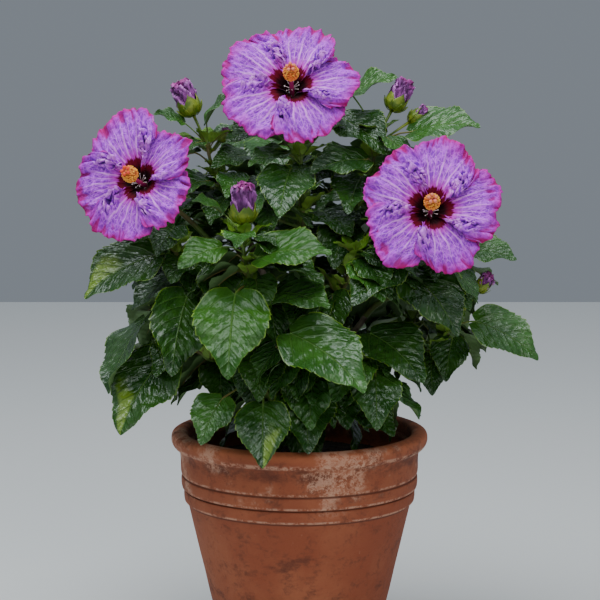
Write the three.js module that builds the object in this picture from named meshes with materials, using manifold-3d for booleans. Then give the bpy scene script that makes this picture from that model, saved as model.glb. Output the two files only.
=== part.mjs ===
// A hibiscus shrub with three large blooms, growing in a terracotta pot.
// Millimetres, +Z up, the front of the plant towards -Y. The origin is the middle of the pot's underside.
import * as THREE from "three";
import Module from "manifold-3d";
import { mergeVertices } from "three/addons/utils/BufferGeometryUtils.js";

const wasm = await Module();
wasm.setup();

// The pot: a thrown flower pot with a rolled rim, a plain collar and two beads under it.
const POT_HEIGHT = 265;
const FOOT_RADIUS = 90;
const RIM_RADIUS = 150;
const COLLAR_RADIUS = 139.5;
const WALL = 13;
const WALL_SLOPE = 0.2265; // outward run of the wall for each millimetre of height
const BEADS_START = 174.5; // height of the lower bead's foot
const BEAD_HEIGHT = 18;
const BEAD_STEP = 3.6; // how far the beads stand out of the wall below them
const RIM_START = 237;
const MOUTH_RADIUS = 130;
const DRAIN_RADIUS = 7;
const DRAIN_CIRCLE = 46;
const ROUND_SIDES = 36;

// The potting soil and the space that separate pieces keep between them.
const SOIL_TOP = 229;
const CLEAR = 0.3;
const SLIVER = 0.02; // faces thinner than this are merged into their neighbours

// The trunk and the limbs that it carries.
const TRUNK_RADIUS = 11.5;
const TRUNK_TIP_RADIUS = 6;
const FLARE_RADIUS = 17;
const FLARE_HEIGHT = 14;
const TRUNK_FOOT = [0, 0, SOIL_TOP - 6];
const TRUNK_BEND = [9, -4, 330];
const TRUNK_TIP = [-1, 3, 424];
const BOUGH_RADIUS = 5;
const BOUGH_TIP_RADIUS = 3.4;
const STEM_TIP_RADIUS = 1.7;
const FIRST_NODE = 0.1; // share of a stem at which its first leaf may stand
const LAST_NODE = 0.97;
const STEM_NODES = 36;
const BUD_STEP = 0.04; // from the last node down to the first bud's stalk, and on to the next
const TWIG_RADIUS = 1.9;
const TRUNK_SIDES = 10;
const TRUNK_STEPS = 12;
const STEM_STEPS = 5;
const BOUGH_STEPS = 4;
const TWIG_STEPS = 3;

// The leaves: egg-shaped with a drawn-out point, on slim stalks.
const LEAF_HALF_WIDTH = 0.4; // share of the leaf's length
const LEAF_STATIONS = [0.13, 0.4, 0.74]; // shares of the length at which a blade has its edge points
const LEAF_KEEL = 0.6; // how far the midrib stands out under the blade
const LEAF_FOLD = 0.2; // how far each half rises from the midrib, as a share of its width
const LEAF_CURL = 34; // degrees that a blade bends down between its foot and its tip
const STALK_RADIUS = 1.2;
const STALK_LIFT = 36; // degrees that a leaf stalk rises
const STALK_SHARE = 0.36; // of the leaf's length
const LEAF_TURN = 137.5; // degrees from one leaf to the next round a shoot
const LEAF_TRIES = 60; // buds that a mass may try for its leaves
const GOLDEN_SHARE = 0.618; // of the shoot, from one bud to the next
const LEAF_SPACING = 7; // least distance between the test points of two blades
const FRONT_SPACING = 1.5; // the same between the leaves of the front
const FRONT_ROLL = 0.5; // how far a front leaf rolls towards the eye, as a share of its turn
const LIMB_SPACING = 2; // least distance between a blade and the bark of a limb
const CROWN_MIDDLE = [0, -8, 440];
const CROWN_REACH = [240, 222, 246]; // half of the crown's width, depth and height

// The blooms: five broad petals that overlap, round a funnel and a long column.
const PETALS = 5;
const BLOOM_RADIUS = 82;
const FUNNEL_DEPTH = 34;
const PETAL_THICKNESS = 1.6;
const PETAL_LAP = 3.4;
const PETAL_STEPS_LONG = 4;
const PETAL_STEPS_WIDE = 6;
const COLUMN_LENGTH = 60;
const ANTHER_RADIUS = 9;
const CALYX_RADIUS = 10;
const CALYX_LENGTH = 24;
const BLOOM_STEM_RADIUS = 2.4;

const FRONT = 0;
const RIGHT = 90;
const LEFT = -90;

// Each bough leaves the trunk at a share of its height and runs to its knee. From there a stem carries on to the
// tip of its mass, or to its bloom. The three lowest masses grow straight from the trunk.
// "grown" is the number of leaves that grow by the rule, and "leaf" their usual length.
const SHOOTS = [
  {
    name: "front_low", onTrunk: 0.17, tip: [-45, -98, 350],
    seed: 11, grown: 6, leaf: 76,
  },
  {
    name: "front_middle", onTrunk: 0.225, tip: [14, -112, 385],
    seed: 23, grown: 7, leaf: 80,
  },
  {
    name: "front_right", onTrunk: 0.27, knee: [42, -42, 300], tip: [84, -84, 362],
    seed: 29, grown: 7, leaf: 76,
  },
  {
    name: "back_low", onTrunk: 0.19, tip: [14, 112, 372],
    seed: 31, twigs: 2, grown: 12, leaf: 84,
  },
  {
    name: "low_left", onTrunk: 0.28, knee: [-62, -38, 322], tip: [-144, -70, 412],
    seed: 43, twigs: 1, grown: 9, leaf: 84,
  },
  {
    name: "low_right", onTrunk: 0.32, knee: [70, -26, 330], tip: [170, -46, 388],
    seed: 59, twigs: 1, grown: 9, leaf: 74,
    buds: [{ turn: 58, lean: 38, length: 70, size: 24 }],
  },
  {
    name: "back_left_low", onTrunk: 0.35, knee: [-62, 50, 330], tip: [-146, 104, 404],
    seed: 61, twigs: 2, grown: 12, leaf: 86,
  },
  {
    name: "back_right_low", onTrunk: 0.385, knee: [64, 48, 330], tip: [150, 98, 404],
    seed: 79, twigs: 2, grown: 12, leaf: 86,
  },
  {
    name: "front", onTrunk: 0.42, knee: [-32, -60, 384], tip: [-62, -138, 508],
    seed: 83, twigs: 1, grown: 8, leaf: 70,
    buds: [{ turn: FRONT, lean: 12, length: 24, size: 40 }],
  },
  {
    name: "centre_right", onTrunk: 0.45, knee: [34, -56, 400], tip: [62, -108, 486],
    seed: 97, grown: 8, leaf: 78,
  },
  {
    name: "left", onTrunk: 0.5, knee: [-70, -34, 410], tip: [-142, -66, 490],
    seed: 101, twigs: 1, grown: 9, leaf: 78,
  },
  {
    name: "right", onTrunk: 0.55, knee: [76, -32, 402], tip: [168, -62, 478],
    seed: 113, twigs: 1, grown: 9, leaf: 78,
  },
  {
    name: "back_left_high", onTrunk: 0.59, knee: [-58, 46, 440], tip: [-112, 96, 540],
    seed: 127, twigs: 2, grown: 12, leaf: 82,
  },
  {
    name: "back_right_high", onTrunk: 0.63, knee: [58, 48, 440], tip: [116, 92, 548],
    seed: 139, twigs: 2, grown: 12, leaf: 82,
  },
  {
    name: "left_bloom", onTrunk: 0.68, knee: [-74, -40, 452],
    bloom: { at: [-169, -100, 557], turn: -22, rise: 22, size: 0.93, spin: 95 },
  },
  {
    name: "right_bloom", onTrunk: 0.73, knee: [76, -44, 442],
    bloom: { at: [143, -126, 526], turn: 0, rise: 25, size: 0.97, spin: 75 },
  },
  {
    name: "upper_left", onTrunk: 0.78, knee: [-56, -26, 486], tip: [-104, -46, 604],
    seed: 149, twigs: 1, grown: 8, leaf: 66,
    buds: [{ turn: LEFT, lean: 24, length: 42, size: 37 }, { turn: RIGHT, lean: 38, length: 18, size: 17 }],
  },
  {
    name: "upper_right", onTrunk: 0.82, knee: [54, -24, 492], tip: [88, -46, 614],
    seed: 151, grown: 9, leaf: 72,
    buds: [{ turn: RIGHT, lean: 27, length: 38, size: 35 }, { turn: RIGHT, lean: 56, length: 46, size: 25 }],
  },
  {
    name: "centre", onTrunk: 0.9, knee: [4, -46, 480], tip: [2, -62, 590],
    seed: 163, twigs: 1, grown: 9, leaf: 74,
  },
  {
    name: "back_top", onTrunk: 0.9, knee: [4, 40, 486], tip: [2, 84, 620],
    seed: 173, twigs: 2, grown: 13, leaf: 76,
  },
  {
    name: "top_bloom", onTrunk: 1, knee: [-2, -8, 500],
    bloom: { at: [-8, -58, 655], turn: -2, rise: 36, size: 0.955, spin: 75 },
  },
];

// The large leaves that make up the front of the crown. A row holds where the blade begins (x, y, z), the turn of
// its tip from the front towards the right, its droop, its length, and its roll where it shows its edge. Each leaf
// grows from the stem that passes nearest.
const FRONT_LEAVES = [
  // The top, between the blooms
  [60, -25, 655, 65, -20, 60], [45, -40, 630, 50, 30, 80], [125, -60, 615, 65, -5, 85],
  [20, -40, 610, 45, -15, 50], [-35, -50, 620, -55, 15, 60], [-105, -45, 625, 60, -45, 50],
  [-130, -50, 625, -60, -15, 40], [75, -75, 585, -60, 10, 75], [70, -60, 565, -15, 30, 75],
  [25, -50, 580, -25, 30, 65], [-10, -85, 575, -10, 35, 85], [-85, -120, 530, -50, -20, 45],
  // The middle
  [-85, -150, 495, -55, 20, 60], [-45, -160, 485, 65, -5, 90], [-70, -160, 445, -5, 50, 110],
  [-30, -120, 440, 45, 5, 90], [105, -115, 475, -40, 30, 85], [25, -50, 525, 30, 20, 70],
  [-10, -150, 400, 55, 30, 115], [10, -100, 430, -20, 20, 60],
  // The left side
  [-160, -95, 480, -75, 30, 95], [-175, -60, 405, -35, 50, 105, 25], [-125, -110, 435, -15, 55, 100, -40],
  [-150, -80, 365, -45, 50, 110], [-140, -70, 510, -20, 30, 60],
  // The right side
  [190, -60, 480, 55, 5, 65], [125, -95, 460, 40, 40, 100], [200, -60, 400, 75, 30, 85],
  [175, -50, 380, -15, 50, 60], [80, -85, 390, 45, 30, 95], [150, -50, 360, 0, 50, 55],
  // Low down, some of them over the rim
  [-85, -135, 325, -30, 45, 65], [-40, -150, 320, 0, 50, 80], [-40, -110, 370, -5, 40, 70],
  [5, -105, 335, 5, 50, 90], [45, -85, 330, 10, 40, 65], [85, -115, 350, 0, 50, 75],
  [65, -75, 305, 45, 25, 65],
];

const COLOURS = {
  pot: { color: "#a4563a", roughness: 0.85 },
  soil: { color: "#2c211b", roughness: 1 },
  wood: { color: "#6d5b41", roughness: 0.85 },
  foliage: { color: "#2c5b22", roughness: 0.35 },
  bloom: { color: "#a866c4", roughness: 0.6 },
};

// A stream of numbers from 0 to 1 that is the same for the same seed.
function randomFrom(seed) {
  let state = seed >>> 0;
  return () => {
    state = (state + 0x6d2b79f5) >>> 0;
    let t = state;
    t = Math.imul(t ^ (t >>> 15), t | 1);
    t ^= t + Math.imul(t ^ (t >>> 7), t | 61);
    return ((t ^ (t >>> 14)) >>> 0) / 4294967296;
  };
}

const point = (p) => new THREE.Vector3(...p);
const radians = THREE.MathUtils.degToRad;
const mix = THREE.MathUtils.lerp;
const between = THREE.MathUtils.smoothstep;

// The level direction at a turn from the front, counted towards the right.
function heading(turn) {
  return new THREE.Vector3(Math.sin(radians(turn)), -Math.cos(radians(turn)), 0);
}

function solidOf(geometry) {
  const bare = geometry.clone();
  bare.deleteAttribute("normal");
  bare.deleteAttribute("uv");
  const merged = mergeVertices(bare, 1e-3);
  const triVerts = new Uint32Array(merged.index.array);
  const vertProperties = merged.attributes.position.array;
  const solid = new wasm.Manifold(new wasm.Mesh({ numProp: 3, vertProperties, triVerts }));
  if (solid.volume() > 0) return solid;
  for (let i = 0; i < triVerts.length; i += 3) {
    [triVerts[i + 1], triVerts[i + 2]] = [triVerts[i + 2], triVerts[i + 1]];
  }
  return new wasm.Manifold(new wasm.Mesh({ numProp: 3, vertProperties, triVerts }));
}

// One closed body: a sealed hollow is filled and a loose scrap is dropped.
function wholeBody(solid) {
  const bodies = solidOf(geometryOf(solid.simplify(SLIVER))).decompose();
  return bodies.reduce((largest, body) => (body.volume() > largest.volume() ? body : largest));
}

function geometryOf(solid) {
  const mesh = solid.getMesh();
  const geometry = new THREE.BufferGeometry();
  geometry.setAttribute("position", new THREE.BufferAttribute(new Float32Array(mesh.vertProperties), 3));
  geometry.setIndex(new THREE.BufferAttribute(new Uint32Array(mesh.triVerts), 1));
  geometry.computeVertexNormals();
  return geometry;
}

// A closed skin over a row of rings. The far end is drawn to a point where one is given, or else capped flat.
function skinOf(rings, end) {
  const sides = rings[0].length;
  const points = rings.flat();
  const faces = [];
  for (let i = 0; i + 1 < rings.length; i++) {
    for (let k = 0; k < sides; k++) {
      const next = (k + 1) % sides;
      const [a, b, c, d] = [i * sides + k, i * sides + next, (i + 1) * sides + next, (i + 1) * sides + k];
      faces.push(a, b, c, a, c, d);
    }
  }
  const last = (rings.length - 1) * sides;
  for (let k = 1; k + 1 < sides; k++) faces.push(0, k + 1, k);
  if (end) {
    for (let k = 0; k < sides; k++) faces.push(last + k, last + ((k + 1) % sides), points.length);
    points.push(end);
  } else {
    for (let k = 1; k + 1 < sides; k++) faces.push(last, last + k, last + k + 1);
  }
  const geometry = new THREE.BufferGeometry().setFromPoints(points);
  geometry.setIndex(faces);
  return geometry;
}

// A limb's middle line: straight runs between even steps along a curve.
function pathAlong(curve, steps) {
  const points = [];
  for (let i = 0; i <= steps; i++) points.push(curve.getPointAt(i / steps));
  const at = (share) => {
    const i = Math.min(steps - 1, Math.floor(share * steps));
    return points[i].clone().lerp(points[i + 1], share * steps - i);
  };
  return { curve, points, steps, at };
}

// A round limb along its path, its radius given by a function of the share along it.
function limb(path, radiusAt, sides) {
  const frames = path.curve.computeFrenetFrames(path.steps, false);
  const rings = path.points.map((centre, i) => {
    const radius = radiusAt(i / path.steps);
    const ring = [];
    for (let k = 0; k < sides; k++) {
      const angle = (2 * Math.PI * k) / sides;
      ring.push(centre.clone()
        .addScaledVector(frames.normals[i], radius * Math.cos(angle))
        .addScaledVector(frames.binormals[i], radius * Math.sin(angle)));
    }
    return ring;
  });
  return solidOf(skinOf(rings));
}

function turned(profile, sides) {
  const outline = profile.map(([radius, height]) => new THREE.Vector2(radius, height));
  return new THREE.LatheGeometry(outline, sides).rotateX(Math.PI / 2);
}

// The pot's wall outside, at a height below the beads.
const wallAt = (height) => FOOT_RADIUS + WALL_SLOPE * height;

function bead(start, foot, head, bulge) {
  return [0.15, 0.5, 0.85].map((share) => [
    mix(foot, head, share) + bulge * Math.sin(Math.PI * share) ** 0.5,
    start + BEAD_HEIGHT * share,
  ]);
}

function makePot() {
  const bead1 = BEADS_START + BEAD_HEIGHT;
  const bead2 = bead1 + BEAD_HEIGHT;
  const beadFoot = wallAt(BEADS_START) + BEAD_STEP - 1;
  const profile = [
    [0, 0], [FOOT_RADIUS - 3, 0], [FOOT_RADIUS, 4],
    [wallAt(BEADS_START), BEADS_START],
    ...bead(BEADS_START, beadFoot, beadFoot + 0.8, 1.6),
    [beadFoot + 1, bead1],
    ...bead(bead1, beadFoot + 3, beadFoot + 4, 1.6),
    [beadFoot + 4, bead2],
    [COLLAR_RADIUS - 0.5, bead2 + 4], [COLLAR_RADIUS, RIM_START - 5],
    [COLLAR_RADIUS + 1.5, RIM_START], [RIM_RADIUS - 3.5, RIM_START + 4.5], [RIM_RADIUS, RIM_START + 12],
    [RIM_RADIUS - 0.4, RIM_START + 20], [RIM_RADIUS - 4, POT_HEIGHT - 1.2],
    [RIM_RADIUS - 12, POT_HEIGHT], [MOUTH_RADIUS + 2, POT_HEIGHT - 2], [MOUTH_RADIUS, POT_HEIGHT - 8],
    [MOUTH_RADIUS - 4, SOIL_TOP], [wallAt(BEADS_START) - WALL, BEADS_START],
    [FOOT_RADIUS + 4 - WALL, WALL + 3], [0, WALL + 3],
  ];
  let pot = solidOf(turned(profile, ROUND_SIDES));
  for (const turn of [60, 180, 300]) {
    const hole = new THREE.CylinderGeometry(DRAIN_RADIUS, DRAIN_RADIUS, 3 * WALL, 12).rotateX(Math.PI / 2);
    const place = heading(turn).multiplyScalar(DRAIN_CIRCLE);
    pot = pot.subtract(solidOf(hole.translate(place.x, place.y, WALL / 2)));
  }
  return pot;
}

function makeSoil() {
  const slope = (wallAt(BEADS_START) - WALL - (FOOT_RADIUS + 4 - WALL)) / (BEADS_START - WALL - 3);
  const lowest = WALL + 3 + CLEAR;
  return solidOf(turned([
    [0, lowest], [FOOT_RADIUS + 4 - WALL - 2 * CLEAR, lowest],
    [FOOT_RADIUS + 4 - WALL + slope * (BEADS_START - lowest) - 2 * CLEAR, BEADS_START],
    [MOUTH_RADIUS - 4 - 2 * CLEAR - 0.6, SOIL_TOP - 4], [MOUTH_RADIUS - 12, SOIL_TOP - 1],
    [FLARE_RADIUS + 20, SOIL_TOP], [0, SOIL_TOP],
  ], ROUND_SIDES));
}

const trunkCurve = new THREE.QuadraticBezierCurve3(point(TRUNK_FOOT), point(TRUNK_BEND), point(TRUNK_TIP));
const trunkLength = trunkCurve.getLength();
const trunkPath = pathAlong(trunkCurve, TRUNK_STEPS);

// The trunk tapers evenly above a flare at its foot. Grown out by a margin, it gives the boughs their seat.
function trunkRadius(share, margin) {
  const flare = (FLARE_RADIUS - TRUNK_RADIUS) * Math.exp((-share * trunkLength) / (FLARE_HEIGHT / 2));
  return mix(TRUNK_RADIUS, TRUNK_TIP_RADIUS, share) + flare + margin;
}

function makeTrunk(margin) {
  const whole = limb(trunkPath, (share) => trunkRadius(share, margin), TRUNK_SIDES);
  return whole.trimByPlane([0, 0, 1], SOIL_TOP + CLEAR);
}

// A limb that goes out before it goes up.
function risingCurve(from, to) {
  const run = to.clone().sub(from);
  const bend = from.clone().addScaledVector(run, 0.5);
  bend.addScaledVector(new THREE.Vector3(run.x, run.y, 0), 0.16);
  bend.z -= 0.16 * run.z;
  return new THREE.QuadraticBezierCurve3(from.clone(), bend, to.clone());
}

// The bough's line, and the line of the stem that goes on from its tip.
function layOut(shoot) {
  const start = trunkCurve.getPointAt(shoot.onTrunk);
  const last = shoot.bloom ? calyxFoot(shoot.bloom) : point(shoot.tip);
  if (!shoot.knee) return { ...shoot, stem: pathAlong(risingCurve(start, last), STEM_STEPS) };
  const knee = point(shoot.knee);
  const toKnee = knee.clone().sub(start);
  const bend = start.clone().addScaledVector(toKnee, 0.5);
  bend.addScaledVector(new THREE.Vector3(toKnee.x, toKnee.y, 0), 0.14);
  bend.z -= 0.1 * toKnee.z;
  const bough = new THREE.QuadraticBezierCurve3(start, bend, knee);
  const leaving = bough.getTangentAt(1);
  const gapEnd = knee.clone().addScaledVector(leaving, CLEAR);
  const length = last.distanceTo(knee);
  const stem = new THREE.CubicBezierCurve3(
    gapEnd,
    gapEnd.clone().addScaledVector(leaving, 0.35 * length),
    last.clone().addScaledVector(endDirection(shoot), -0.3 * length),
    last,
  );
  return { ...shoot, bough: pathAlong(bough, BOUGH_STEPS), stem: pathAlong(stem, STEM_STEPS) };
}

// A stem ends upright, and a bloom's stem ends along the bloom's own axis.
function endDirection(shoot) {
  if (shoot.bloom) return bloomAxis(shoot.bloom);
  return new THREE.Vector3(0, 0, 1);
}

function bloomAxis(bloom) {
  const level = heading(bloom.turn).multiplyScalar(Math.cos(radians(bloom.rise)));
  return level.add(new THREE.Vector3(0, 0, Math.sin(radians(bloom.rise))));
}

function calyxFoot(bloom) {
  return point(bloom.at).addScaledVector(bloomAxis(bloom), -CALYX_LENGTH);
}

// Half of a blade's width at a share along the midrib, for a blade one unit long.
function halfWidth(along) {
  return LEAF_HALF_WIDTH * Math.sin(Math.PI * along ** 0.62) ** 0.85 * (1.04 - 0.16 * along);
}

// A point of a blade, from -1 to 1 across it and from 0 to 1 along it, lifted off its middle surface.
function bladePoint(leaf, across, along, lift) {
  const ahead = heading(leaf.turn);
  const side = new THREE.Vector3(-ahead.y, ahead.x, 0);
  const first = radians(leaf.droop - LEAF_CURL / 2);
  const bend = radians(LEAF_CURL);
  const angle = first + bend * along;
  const out = (Math.sin(angle) - Math.sin(first)) / bend;
  const down = (Math.cos(first) - Math.cos(angle)) / bend;
  const place = leaf.foot.clone().addScaledVector(ahead, leaf.length * out);
  place.z -= leaf.length * down;
  const face = ahead.clone().multiplyScalar(Math.sin(angle)).add(new THREE.Vector3(0, 0, Math.cos(angle)));
  const roll = radians(leaf.roll);
  const rolledSide = side.clone().multiplyScalar(Math.cos(roll)).addScaledVector(face, Math.sin(roll));
  const rolledFace = face.clone().multiplyScalar(Math.cos(roll)).addScaledVector(side, -Math.sin(roll));
  const width = leaf.length * halfWidth(along) * across;
  return place
    .addScaledVector(rolledSide, width)
    .addScaledVector(rolledFace, Math.abs(width) * LEAF_FOLD + lift);
}

// Test points all over a blade, for the distance to other blades.
function testPoints(leaf) {
  const points = [];
  for (const along of [0.1, 0.24, 0.38, 0.52, 0.66, 0.8, 0.98]) {
    for (const across of [-0.95, -0.5, 0, 0.5, 0.95]) points.push(bladePoint(leaf, across, along, 0));
  }
  return points;
}

function nearest(points, others) {
  let least = Infinity;
  for (const p of points) {
    for (const q of others) least = Math.min(least, p.distanceToSquared(q));
  }
  return Math.sqrt(least);
}

// Whether a blade keeps out of the pot, the soil, the limbs and the blooms.
function hasRoom(leaf, limbs, blooms) {
  for (const p of testPoints(leaf)) {
    const radius = Math.hypot(p.x, p.y);
    if (p.z < POT_HEIGHT + 5 && radius > MOUTH_RADIUS - 6 && radius < RIM_RADIUS + 6) return false;
    if (p.z < SOIL_TOP + 6) return false;
    for (const bloom of blooms) if (inBloom(bloom, p)) return false;
    for (const line of limbs) {
      if (nearest([p], line.points) < line.radius + LIMB_SPACING) return false;
    }
  }
  return true;
}

// Whether a point lies in front of a bloom's petals or between them.
function inBloom(bloom, p) {
  const offset = p.clone().sub(point(bloom.at));
  const ahead = offset.dot(bloomAxis(bloom));
  const radius = Math.sqrt(Math.max(0, offset.lengthSq() - ahead * ahead));
  const share = Math.min(1, radius / (BLOOM_RADIUS * bloom.size));
  const petals = FUNNEL_DEPTH * bloom.size * (1 - Math.exp(-4.2 * share ** 0.8));
  return radius < BLOOM_RADIUS * bloom.size + 2 && ahead > petals - 9 && ahead < COLUMN_LENGTH + 15;
}

function inCrown(p) {
  const [x, y, z] = p.toArray().map((value, i) => (value - CROWN_MIDDLE[i]) / CROWN_REACH[i]);
  return x * x + y * y + z * z < 1;
}

// The step from a leaf's node to the foot of its blade.
function stalkOf(turn, length) {
  const step = heading(turn).multiplyScalar(length * Math.cos(radians(STALK_LIFT)));
  step.z = length * Math.sin(radians(STALK_LIFT));
  return step;
}

// A leaf of the front and the mass that carries it: the one with the free node that suits the leaf's stalk best.
function frontLeaf([x, y, z, turn, droop, length, roll = FRONT_ROLL * turn]) {
  const foot = new THREE.Vector3(x, y, z);
  const start = foot.clone().sub(stalkOf(turn, STALK_SHARE * length));
  let best = { distance: Infinity };
  for (const mass of masses) {
    for (let k = 0; k <= STEM_NODES; k++) {
      const node = mass.stem.at(mix(FIRST_NODE, LAST_NODE, k / STEM_NODES));
      const distance = node.distanceTo(start);
      if (distance < best.distance && !mass.taken.has(k)) best = { distance, mass, node, k };
    }
  }
  best.mass.taken.add(best.k);
  return { mass: best.mass, leaf: { node: best.node, foot, turn, droop, length, roll } };
}

// The twigs of a mass leave its stem left and right in turn.
function layTwigs(shoot, random) {
  const tip = shoot.stem.at(1);
  const outward = THREE.MathUtils.radToDeg(Math.atan2(tip.x, -tip.y));
  const twigs = [];
  for (let k = 0; k < (shoot.twigs ?? 0); k++) {
    const along = 0.24 + 0.26 * k;
    const turn = outward + (k % 2 ? 1 : -1) * mix(55, 85, random());
    const start = shoot.stem.at(along);
    const end = start.clone().addScaledVector(heading(turn), mix(52, 70, random()));
    end.z += mix(28, 52, random());
    twigs.push(pathAlong(risingCurve(start, end), TWIG_STEPS));
  }
  return twigs;
}

const shoots = SHOOTS.map(layOut);
const masses = shoots.filter((shoot) => !shoot.bloom);
const blooms = shoots.filter((shoot) => shoot.bloom).map((shoot) => shoot.bloom);

function lineOf(path, radius) {
  const steps = Math.ceil(path.curve.getLength() / 7);
  const points = [];
  for (let i = 0; i <= steps; i++) points.push(path.at(i / steps));
  return { points, radius };
}

// All the leaves: first the front's, then those that each mass grows by the rule.
function growLeaves() {
  const limbs = [lineOf(trunkPath, TRUNK_RADIUS)];
  for (const shoot of shoots) {
    if (shoot.bough) limbs.push(lineOf(shoot.bough, BOUGH_RADIUS));
    shoot.line = lineOf(shoot.stem, shoot.bloom ? BOUGH_TIP_RADIUS : STEM_TIP_RADIUS + 1);
    limbs.push(shoot.line);
  }
  const grown = [];
  const accept = (mass, leaf, spacing) => {
    if (!hasRoom(leaf, limbs, blooms)) return;
    const points = testPoints(leaf);
    if (grown.some((other) => nearest(points, other.points) < spacing)) return;
    leaf.points = points;
    grown.push(leaf);
    mass.leafList.push(leaf);
  };
  for (const mass of masses) {
    mass.random = randomFrom(mass.seed);
    mass.twigPaths = layTwigs(mass, mass.random);
    mass.leafList = [];
    mass.taken = new Set();
    for (const path of mass.twigPaths) limbs.push(lineOf(path, TWIG_RADIUS));
  }
  for (const row of FRONT_LEAVES) {
    const { mass, leaf } = frontLeaf(row);
    accept(mass, leaf, FRONT_SPACING);
  }
  for (const mass of masses) {
    const paths = [mass.stem, ...mass.twigPaths];
    const wanted = mass.leafList.length + mass.grown;
    let turn = 360 * mass.random();
    for (let k = 0; k < LEAF_TRIES && mass.leafList.length < wanted; k++) {
      turn += LEAF_TURN;
      growOne(mass, paths[k % paths.length], (k * GOLDEN_SHARE) % 1, turn, accept);
    }
  }
}

// One leaf of the rule: it turns some way outwards, and lower leaves hang more.
function growOne(mass, path, share, turn, accept) {
  const along = mix(FIRST_NODE + 0.05, LAST_NODE, share);
  const node = path.at(along);
  const away = new THREE.Vector3(node.x - CROWN_MIDDLE[0], node.y - CROWN_MIDDLE[1], 0).normalize();
  const faced = heading(turn).addScaledVector(away, 0.75).normalize();
  const outward = THREE.MathUtils.radToDeg(Math.atan2(faced.x, -faced.y));
  const height = (node.z - SOIL_TOP) / (CROWN_MIDDLE[2] + CROWN_REACH[2] - SOIL_TOP);
  const droop = mix(58, 8, height) + mix(-16, 16, mass.random());
  const length = mass.leaf * mix(0.78, 1.12, mass.random()) * (along > 0.9 ? 0.72 : 1);
  const stalk = length * STALK_SHARE * mix(0.8, 1.5, mass.random());
  const roll = mix(-22, 22, mass.random());
  const foot = node.clone().add(stalkOf(outward, stalk));
  const leaf = { node, foot, turn: outward, droop, length, roll };
  const middle = bladePoint(leaf, 0, 0.5, 0);
  if (!inCrown(middle) || !inCrown(bladePoint(leaf, 0, 1, 0))) return;
  const own = nearest([middle], mass.line.points);
  for (const other of masses) {
    if (other !== mass && nearest([middle], other.line.points) < own - 40) return;
  }
  accept(mass, leaf, LEAF_SPACING);
}

growLeaves();

// A leaf in one skin: its stalk, then a thin blade with a keel under the midrib.
function makeLeaf(leaf) {
  const side = new THREE.Vector3(Math.cos(radians(leaf.turn)), Math.sin(radians(leaf.turn)), 0);
  const collar = (centre) => [
    centre.clone().addScaledVector(side, -STALK_RADIUS).add(new THREE.Vector3(0, 0, STALK_RADIUS / 2)),
    centre.clone().add(new THREE.Vector3(0, 0, -STALK_RADIUS)),
    centre.clone().addScaledVector(side, STALK_RADIUS).add(new THREE.Vector3(0, 0, STALK_RADIUS / 2)),
  ];
  const rings = [collar(leaf.node), collar(leaf.foot)];
  for (const along of LEAF_STATIONS) {
    rings.push([
      bladePoint(leaf, -1, along, 0), bladePoint(leaf, 0, along, -LEAF_KEEL), bladePoint(leaf, 1, along, 0),
    ]);
  }
  return solidOf(skinOf(rings, bladePoint(leaf, 0, 1, 0)));
}

// A closed bud: a green cup with the furled petals standing out of it, on its own stalk.
function makeBud(stem, bud, index) {
  const start = stem.at(LAST_NODE - BUD_STEP * (index + 1));
  const lean = radians(bud.lean);
  const axis = heading(bud.turn).multiplyScalar(Math.sin(lean));
  axis.z = Math.cos(lean);
  const foot = start.clone().addScaledVector(axis, bud.length);
  const wide = bud.size * 0.36;
  const profile = [
    [0, -2], [wide * 0.5, 0], [wide, bud.size * 0.3], [wide * 0.86, bud.size * 0.55],
    [wide * 0.8, bud.size * 0.85], [wide * 0.4, bud.size * 1.14], [0, bud.size * 1.2],
  ];
  const shape = turned(profile, 8);
  shape.applyQuaternion(new THREE.Quaternion().setFromUnitVectors(new THREE.Vector3(0, 0, 1), axis));
  shape.translate(foot.x, foot.y, foot.z);
  const stalk = limb(pathAlong(new THREE.LineCurve3(start, foot), 1), () => 1.5, 4);
  return solidOf(shape).add(stalk);
}

function makeMass(mass) {
  const stem = limb(mass.stem, (share) => mix(BOUGH_TIP_RADIUS, STEM_TIP_RADIUS, share), 5);
  const twigs = mass.twigPaths.map((path) => limb(path, (share) => mix(TWIG_RADIUS, 1.3, share), 3));
  const buds = (mass.buds ?? []).map((bud, index) => makeBud(mass.stem, bud, index));
  return { wood: [stem, ...twigs, ...buds], leaves: mass.leafList.map(makeLeaf) };
}

// A petal's surface in the bloom's own frame, its axis along +Z: across from -1 to 1, along from 0 to 1.
// Each petal lies over the next one clockwise.
function petalPoint(bloom, turn, across, along) {
  const spread = radians(mix(33, 45, along));
  const outline = 1 - 0.13 * across ** 2 - 0.08 * across ** 6;
  const radius = BLOOM_RADIUS * bloom.size * outline * (0.045 + 0.955 * along ** 1.25);
  const angle = turn + across * spread;
  const lapped = -PETAL_LAP * across * between(along, 0.1, 0.45);
  const rise = FUNNEL_DEPTH * (1 - Math.exp(-3.6 * along)) - 6 * along ** 3;
  return new THREE.Vector3(radius * Math.cos(angle), radius * Math.sin(angle), rise * bloom.size + lapped);
}

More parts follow.
